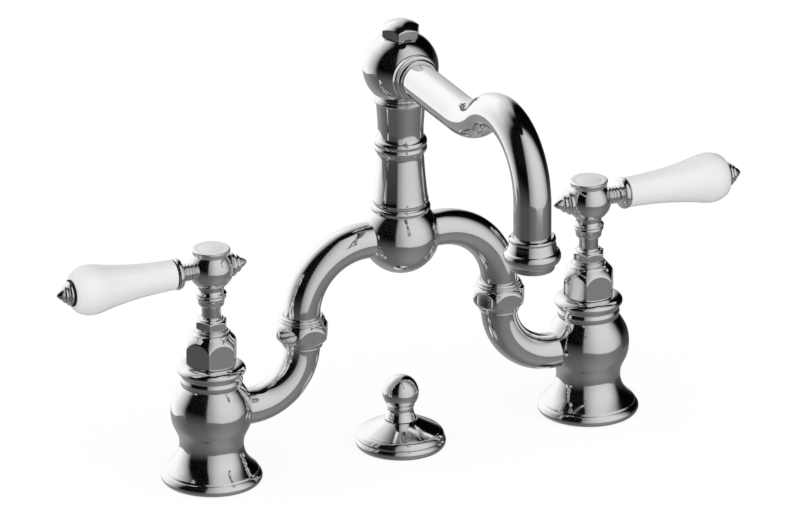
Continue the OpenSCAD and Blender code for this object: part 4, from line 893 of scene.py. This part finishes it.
def bar_between(radius, low_z, high_z, pitch):
    """Outline points up a bar that is to be threaded, eight to a turn of the thread."""
    rows = int((high_z - low_z) / pitch * 8)
    return [(radius, low_z + (high_z - low_z) * i / rows) for i in range(rows + 1)]


shank_low = extent("hot_shank")[0].z
thread_r = 10.48
shank_bore_r = 7.0
plain_r = 10.0
relief_z = shank_low + 12
deck_under = -20.0
shank_outline = (
    [(shank_bore_r, socket_h), (shank_bore_r, shank_low), (thread_r - 0.8, shank_low)]
    + bar_between(thread_r, shank_low + 0.8, relief_z, SUPPLY_PITCH)
    + [(thread_r - 1, relief_z + 0.1), (thread_r - 1, relief_z + 2)]
    + bar_between(thread_r, relief_z + 2.1, deck_under, SUPPLY_PITCH)
    + [(plain_r, deck_under + 0.1), (plain_r, 2), (thread_r, 2), (thread_r, socket_h)])
for side, x in TAPS.items():
    start = turned(shank_outline, 64, 0)
    mesh = grown(cut_thread, [(p[0] + x, p[1], p[2]) for p in start[0]], [], start[1], Axis_X=x * MM,
                 Crest_Radius=thread_r * MM, Pitch=SUPPLY_PITCH * MM, Depth=THREAD_DEPTH * MM,
                 Low_Z=shank_low * MM, High_Z=deck_under * MM, Finish=brass)
    dressed(f"{side}_threaded_shank", mesh, "fixed_frame", "brass", f"{side}_shank")

guide_low, guide_high = extent("lift_guide")
guide_bore_r = 3.05
guide_outline = ([(guide_bore_r, guide_high.z), (guide_bore_r, guide_low.z), (guide_r - 0.5, guide_low.z)]
                 + bar_between(guide_r, guide_low.z + 0.5, guide_high.z - 0.5, GUIDE_PITCH)
                 + [(guide_r - 0.5, guide_high.z)])
start = turned(guide_outline, 48, 0)
mesh = grown(cut_thread, start[0], [], start[1], Axis_X=0.0, Crest_Radius=guide_r * MM,
             Pitch=GUIDE_PITCH * MM, Depth=GUIDE_DEPTH * MM, Low_Z=guide_low.z * MM,
             High_Z=guide_high.z * MM, Finish=brass)
dressed("threaded_lift_guide", mesh, "fixed_frame", "brass", "lift_guide")

# Backnuts. Forged brass hexagons with chamfered corners pull the taps and the guide down
# on the deck from below, over plain washers.
backnut_r = 17.3
backnut_h = 8.0
guide_nut_r = 9.8
guide_nut_h = 5.5


def chamfered_nut(corner_r, hole_r, foot, head):
    """Vertices and faces of a hexagon nut between two heights, with its corners chamfered."""
    face_r = corner_r * 0.83
    drop = (corner_r - face_r) * 0.5
    return hexed([(hole_r, foot), (hole_r + 0.4, foot)], [(face_r, foot), (corner_r + 0.1, foot + drop)],
                 [(corner_r + 0.1, head - drop), (face_r, head)], [(hole_r + 0.4, head), (hole_r, head)],
                 corner_r, 0.3)


low, high = extent("backnuts")
backnut = chamfered_nut(backnut_r, thread_r, low.z, low.z + backnut_h)
guide_nut = chamfered_nut(guide_nut_r, guide_r, high.z - guide_nut_h, high.z)
made_of("backnut_set", [(backnut, standing(x)) for x in TAPS.values()] + [(guide_nut, Matrix())], brass,
        "fixed_frame", "brass", "backnuts")

# Inner pieces. What the taps, the unions, the swivel and the deck hide keeps the shape it
# was made to, and each is finished in what it is really made of. The stems are plated
# from their glands up, where they show.

# Rubber from a matt mould is dull and black. Plastics take the finer grain of a steel mould,
# and the slip plastic shines a little with graphite. Lapped ceramic is fine and near glossy.
rubber = surfaced("moulded_rubber", "#1B1B1C", 0.0, (2, 0.55, 0.75), (0.6, 0.01))
slip_plastic = surfaced("graphite_filled_slip_plastic", "#2E2F31", 0.0, (3, 0.35, 0.5), (1, 0.006))
grey_plastic = surfaced("grey_moulded_plastic", "#77797B", 0.0, (2, 0.4, 0.55), (0.7, 0.01))
disc_ceramic = surfaced("lapped_ceramic", "#EFEEE8", 0.0, (1, 0.12, 0.25), (0.5, 0.002), IOR=1.7)

# The stem is one bar: bare brass up to 2 mm below its gland's top, and plated from there up.
stem, tree, shader = finish_of("stem_brass_plated_above_its_gland", BRASS_COLOUR, 1.0)
place = add(tree, "ShaderNodeTexCoord")
parts = add(tree, "ShaderNodeSeparateXYZ", {"Vector": place.outputs["Object"]})
plate_from = add(tree, "ShaderNodeMapRange", {"Value": parts.outputs["Z"], "From Min": (gland_z - 2.5) * MM,
                 "From Max": (gland_z - 2) * MM})
ramp = add(tree, "ShaderNodeValToRGB", {"Fac": plate_from.outputs["Result"]})
ramp.color_ramp.elements[0].color = linear(BRASS_COLOUR)
ramp.color_ramp.elements[1].color = linear(CHROME_COLOUR)
tree.links.new(ramp.outputs["Color"], shader.inputs["Base Color"])
polish = add(tree, "ShaderNodeMapRange", {"Value": plate_from.outputs["Result"], "To Min": 0.28,
             "To Max": 0.06})
tree.links.new(polish.outputs["Result"], shader.inputs["Roughness"])

FINISHES = {"chrome_plate": chrome, "brass": brass, "porcelain": porcelain, "rubber": rubber,
            "slip_plastic": slip_plastic, "grey_plastic": grey_plastic, "disc_ceramic": disc_ceramic}
slots = {part["node"]: part["material_slot"] for part in frame["record"]["subparts"]}
for node, shown in frame["nodes"].items():
    shown.data.materials.clear()
    shown.data.materials.append(stem if node.endswith("spindle") else FINISHES[slots[node]])

# Mirrors see the ground's grey where the deck hides pieces, and not the brass below it.
UNDER_DECK = -10 * MM
for piece in bpy.data.objects:
    if piece.type == "MESH" and min(corner[2] for corner in piece.bound_box) < UNDER_DECK:
        piece.visible_glossy = False

# Studio. A grey ground and an upright wall of four curved lengths stand round the mixer, far
# off: a broad light panel in front to the right, a black flag on each side of it, and a white
# sheet behind on the left. That is what chrome needs to show its shape.
STUDIO_CENTRE = Vector((0, 0, 0.1))
WALL_R = 6.0
WALL_TOP = 4.7
WALL_FOOT = -0.5
HAZE = ((-0.42, 76), (-0.32, 67), (-0.21, 56), (-0.1, 40), (0, 18), (0.1, 5), (0.2, 2))
GROUND_DEPTH = 3.2
GROUND_REACH = 18.0


def towards(turn):
    """The level direction at an angle in degrees to the right of the camera."""
    turn = math.radians(turn)
    return view_right * math.sin(turn) + view_near * math.cos(turn)


def mirrored(grey):
    """The light that chrome shows as an sRGB grey from 0 to 255."""
    return linear(f"#{grey:02X}{grey:02X}{grey:02X}")[0] / linear(CHROME_COLOUR)[1]


def graded(tree, amount, stops):
    """The light along a strip, over an amount from 0 to 1."""
    ramp = add(tree, "ShaderNodeValToRGB", {"Fac": amount})
    strip = ramp.color_ramp.elements
    while len(strip) < len(stops):
        strip.new(1.0)
    for spot, (where, level) in zip(strip, stops):
        spot.position = where
        spot.color = (level, level, level, 1)
    return ramp.outputs["Color"]


def bare(name):
    """A new material without a shader, and its tree."""
    made = bpy.data.materials.new(name)
    made.use_nodes = True
    made.node_tree.nodes.clear()
    return made, made.node_tree


def glowing(tree, level):
    """Ends a tree without a shader as plain white light of a level."""
    light = add(tree, "ShaderNodeEmission", {"Color": (1, 1, 1, 1), "Strength": level})
    add(tree, "ShaderNodeOutputMaterial", {"Surface": light.outputs["Emission"]})


def card(name, corners, spots, faces, material):
    """A card of the studio that only mirrors see, with the place of each corner on its print."""
    mesh = bpy.data.meshes.new(name)
    mesh.from_pydata(corners, [], faces)
    print_layer = mesh.uv_layers.new(name="print")
    for loop, spot in zip(mesh.loops, print_layer.data):
        spot.uv = spots[loop.vertex_index]
    mesh.materials.append(material)
    made = linked(name, mesh)
    made.visible_camera = False
    made.visible_diffuse = False
    made.visible_transmission = False
    made.visible_shadow = False


def wall(name, left, right, across, up, feet):
    """One curved length of the wall between two directions. Greys run across it, are dimmed by
    shares up it, and the haze over the ground adds to them. Its foot follows turns and slopes."""
    made, tree = bare(name)
    place = add(tree, "ShaderNodeTexCoord")
    parts = add(tree, "ShaderNodeSeparateXYZ", {"Vector": place.outputs["UV"]}).outputs
    whole = WALL_TOP - WALL_FOOT
    strip = graded(tree, parts["X"],
                   [((turn - left) / (right - left), mirrored(grey)) for turn, grey in across])
    share = graded(tree, parts["Y"], [((slope - WALL_FOOT) / whole, part) for slope, part in up])
    haze = graded(tree, parts["Y"], [((slope - WALL_FOOT) / whole, mirrored(grey)) for slope, grey in HAZE])
    level = add(tree, "ShaderNodeMath", {0: strip, 1: share, 2: haze}, operation="MULTIPLY_ADD")
    glowing(tree, level.outputs[0])
    steps = round((right - left) / 3)
    corners, spots = [], []
    for i in range(steps + 1):
        turn = left + (right - left) * i / steps
        foot = np.interp(turn, [t for t, slope in feet], [slope for t, slope in feet])
        for slope in (foot, WALL_TOP):
            corners.append(STUDIO_CENTRE + (towards(turn) + Vector((0, 0, slope))) * WALL_R)
            spots.append((i / steps, (slope - WALL_FOOT) / whole))
    faces = [(2 * i, 2 * i + 2, 2 * i + 3, 2 * i + 1) for i in range(steps)]
    card(name, corners, spots, faces, made)


wall("light_panel", -24, 116,
     [(-22, 2), (-18, 12), (-16, 36), (-14, 80), (-12, 120), (-10, 136), (-8, 143), (-5, 149), (0, 160),
      (6, 174), (12, 186), (18, 193), (26, 201), (36, 206), (50, 208), (66, 207), (75, 202), (82, 192),
      (87, 181), (92, 168), (96, 152), (99, 137), (102, 115), (105, 88), (108, 52), (111, 25), (115, 4)],
     [(-0.32, 0.8), (-0.21, 0.86), (-0.1, 0.92), (0.02, 0.96), (0.3, 1.0), (0.73, 1.0), (1.1, 0.97),
      (1.73, 0.92), (3.0, 0.86), (4.7, 0.75)],
     [(-20, -0.42), (-14, -0.3), (4, -0.31), (16, -0.33), (26, -0.36), (60, -0.37), (75, -0.35),
      (86, -0.32), (95, -0.27), (104, -0.26), (112, -0.42)])
for name, left, right in (("front_flag", -72, -24), ("right_flag", 116, 162)):
    wall(name, left, right, [(left, 0), (right, 0)], [(0, 1), (WALL_TOP, 1)], [(left, -0.42), (right, -0.42)])
wall("white_sheet", -198, -72,
     [(-198, 0), (-195, 60), (-192, 136), (-189, 168), (-186, 196), (-182, 204), (-176, 216), (-170, 228),
      (-165, 242), (-158, 248), (-140, 250), (-126, 246), (-118, 235), (-112, 223), (-106, 211),
      (-100, 199), (-96, 187), (-91, 168), (-87, 153), (-84, 134), (-81, 110), (-78, 80), (-75, 38),
      (-72, 2)],
     [(-0.5, 0.88), (-0.3, 0.93), (0.1, 1.0), (0.73, 1.0), (1.0, 0.8), (1.37, 0.66), (1.73, 0.52),
      (2.25, 0.3), (3.08, 0.1), (4.7, 0.0)],
     [(-198, -0.42), (-194, -0.1), (-187, -0.1), (-181, -0.34), (-176, -0.39), (-140, -0.4), (-120, -0.385),
      (-110, -0.355), (-100, -0.305), (-92, -0.27), (-84, -0.25), (-74, -0.36), (-72, -0.42)])

# Black tent round it all, far off, which chrome shows wherever nothing else stands.
LID_R = 24.0
lid, tree = bare("lid_black")
glowing(tree, mirrored(3))
tent = turned([(LID_R * math.sin(a), -LID_R * math.cos(a)) for a in np.linspace(0, math.pi, 13)], 24, 0)
card("black_tent", tent[0], [(0, 0)] * len(tent[0]), tent[1], lid)

# Grey ground: lighter on the left behind, darker in front on the left and far off.
NEAR_GREYS = ((-180, 144), (-150, 144), (-132, 137), (-120, 132), (-108, 121), (-96, 108), (-84, 97),
              (-66, 94), (-30, 95), (-15, 101), (0, 111), (12, 119), (30, 127), (54, 130), (78, 128),
              (90, 124), (100, 116), (112, 108), (144, 107), (160, 122), (170, 138), (180, 144))
FAR_GREYS = ((-180, 155), (-150, 150), (-132, 143), (-120, 130), (-108, 117), (-96, 105), (-84, 93),
             (-72, 82), (-24, 80), (-10, 90), (4, 100), (18, 109), (36, 120), (60, 119), (78, 112),
             (96, 103), (110, 98), (144, 105), (156, 114), (168, 138), (180, 155))


def ring(tree, place, shades):
    """The ground's light by the direction in which it lies from the middle of the print."""
    around = add(tree, "ShaderNodeTexGradient", {"Vector": place}, gradient_type="RADIAL")
    return graded(tree, around.outputs["Fac"], [(turn / 360 + 0.5, mirrored(grey)) for turn, grey in shades])


def between(tree, amount, low, high, start, end):
    """Goes from one value to another while an amount passes from low to high."""
    share = add(tree, "ShaderNodeMapRange", {"Value": amount, "From Min": low, "From Max": high})
    return add(tree, "ShaderNodeMix", {0: share.outputs["Result"], 2: start, 3: end},
               data_type="FLOAT").outputs[0]


ground, tree = bare("ground_grey")
print_place = add(tree, "ShaderNodeTexCoord")
place = add(tree, "ShaderNodeVectorMath", {0: print_place.outputs["UV"], 1: (0.5, 0.5, 0)},
            operation="SUBTRACT").outputs["Vector"]
away = add(tree, "ShaderNodeVectorMath", {0: place}, operation="LENGTH").outputs["Value"]
# Its middle is plain. The near greys come next, and pass into the far ones further out.
DEPTH_SHARE = GROUND_DEPTH / (2 * GROUND_REACH)
spread = between(tree, away, 0.75 * DEPTH_SHARE, 1.9 * DEPTH_SHARE, ring(tree, place, NEAR_GREYS),
                 ring(tree, place, FAR_GREYS))
level = between(tree, away, 0.12 * DEPTH_SHARE, 0.45 * DEPTH_SHARE, mirrored(104), spread)
glowing(tree, level)
SQUARE = ((-1, -1), (1, -1), (1, 1), (-1, 1))
card("ground_card", [STUDIO_CENTRE + (view_right * u + view_near * v) * GROUND_REACH
                     - Vector((0, 0, GROUND_DEPTH)) for u, v in SQUARE],
     [(0.5 + 0.5 * v, 0.5 + 0.5 * u) for u, v in SQUARE], [(0, 1, 2, 3)], ground)


# Floor and world. Both are white to the camera and to mirrors. The floor keeps some of
# its own shade, so that the feet and the cover still sit in a soft contact shadow.
def seen(tree):
    """One for the rays of camera, mirrors and glass, and nothing for those that shade surfaces."""
    path = add(tree, "ShaderNodeLightPath")
    total = path.outputs["Is Camera Ray"]
    for kind in ("Is Glossy Ray", "Is Transmission Ray"):
        total = add(tree, "ShaderNodeMath", {0: total, 1: path.outputs[kind]}, operation="ADD",
                    use_clamp=True).outputs[0]
    return total


FLOOR_REACH = 9.0
floor_mesh = bpy.data.meshes.new("floor")
floor_mesh.from_pydata([(u * FLOOR_REACH, v * FLOOR_REACH, 0) for u, v in SQUARE], [], [(0, 1, 2, 3)])
floor = linked("floor", floor_mesh)
floor.visible_glossy = False
paint, tree = bare("pale_floor")
FLOOR_GLOW = 0.8
FLOOR_WHITE = 1.08
own_shade = add(tree, "ShaderNodeBsdfDiffuse", {"Color": linear("#F2F2F2")})
white = add(tree, "ShaderNodeEmission", {"Color": (1, 1, 1, 1), "Strength": FLOOR_WHITE})
amount = add(tree, "ShaderNodeMath", {0: seen(tree), 1: FLOOR_GLOW}, operation="MULTIPLY")
mixed = add(tree, "ShaderNodeMixShader", {0: amount.outputs[0], 1: own_shade.outputs["BSDF"],
            2: white.outputs["Emission"]})
add(tree, "ShaderNodeOutputMaterial", {"Surface": mixed.outputs["Shader"]})
floor_mesh.materials.append(paint)

world = bpy.data.worlds.new("studio")
bpy.context.scene.world = world
world.use_nodes = True
tree = world.node_tree
tree.nodes.clear()
sky = add(tree, "ShaderNodeTexCoord")
front = add(tree, "ShaderNodeVectorMath", {0: sky.outputs["Generated"], 1: tuple(view_back)},
            operation="DOT_PRODUCT")
EVEN_LIGHT = 0.64
FRONT_LIGHT = 0.67
level = add(tree, "ShaderNodeMath", {0: front.outputs["Value"], 1: FRONT_LIGHT, 2: EVEN_LIGHT},
            operation="MULTIPLY_ADD")
soft = add(tree, "ShaderNodeBackground", {"Color": (1, 1, 1, 1), "Strength": level.outputs[0]})
bright = add(tree, "ShaderNodeBackground", {"Color": (1, 1, 1, 1), "Strength": 1.0})
mixed = add(tree, "ShaderNodeMixShader", {0: seen(tree), 1: soft.outputs["Background"],
            2: bright.outputs["Background"]})
add(tree, "ShaderNodeOutputWorld", {"Surface": mixed.outputs["Shader"]})
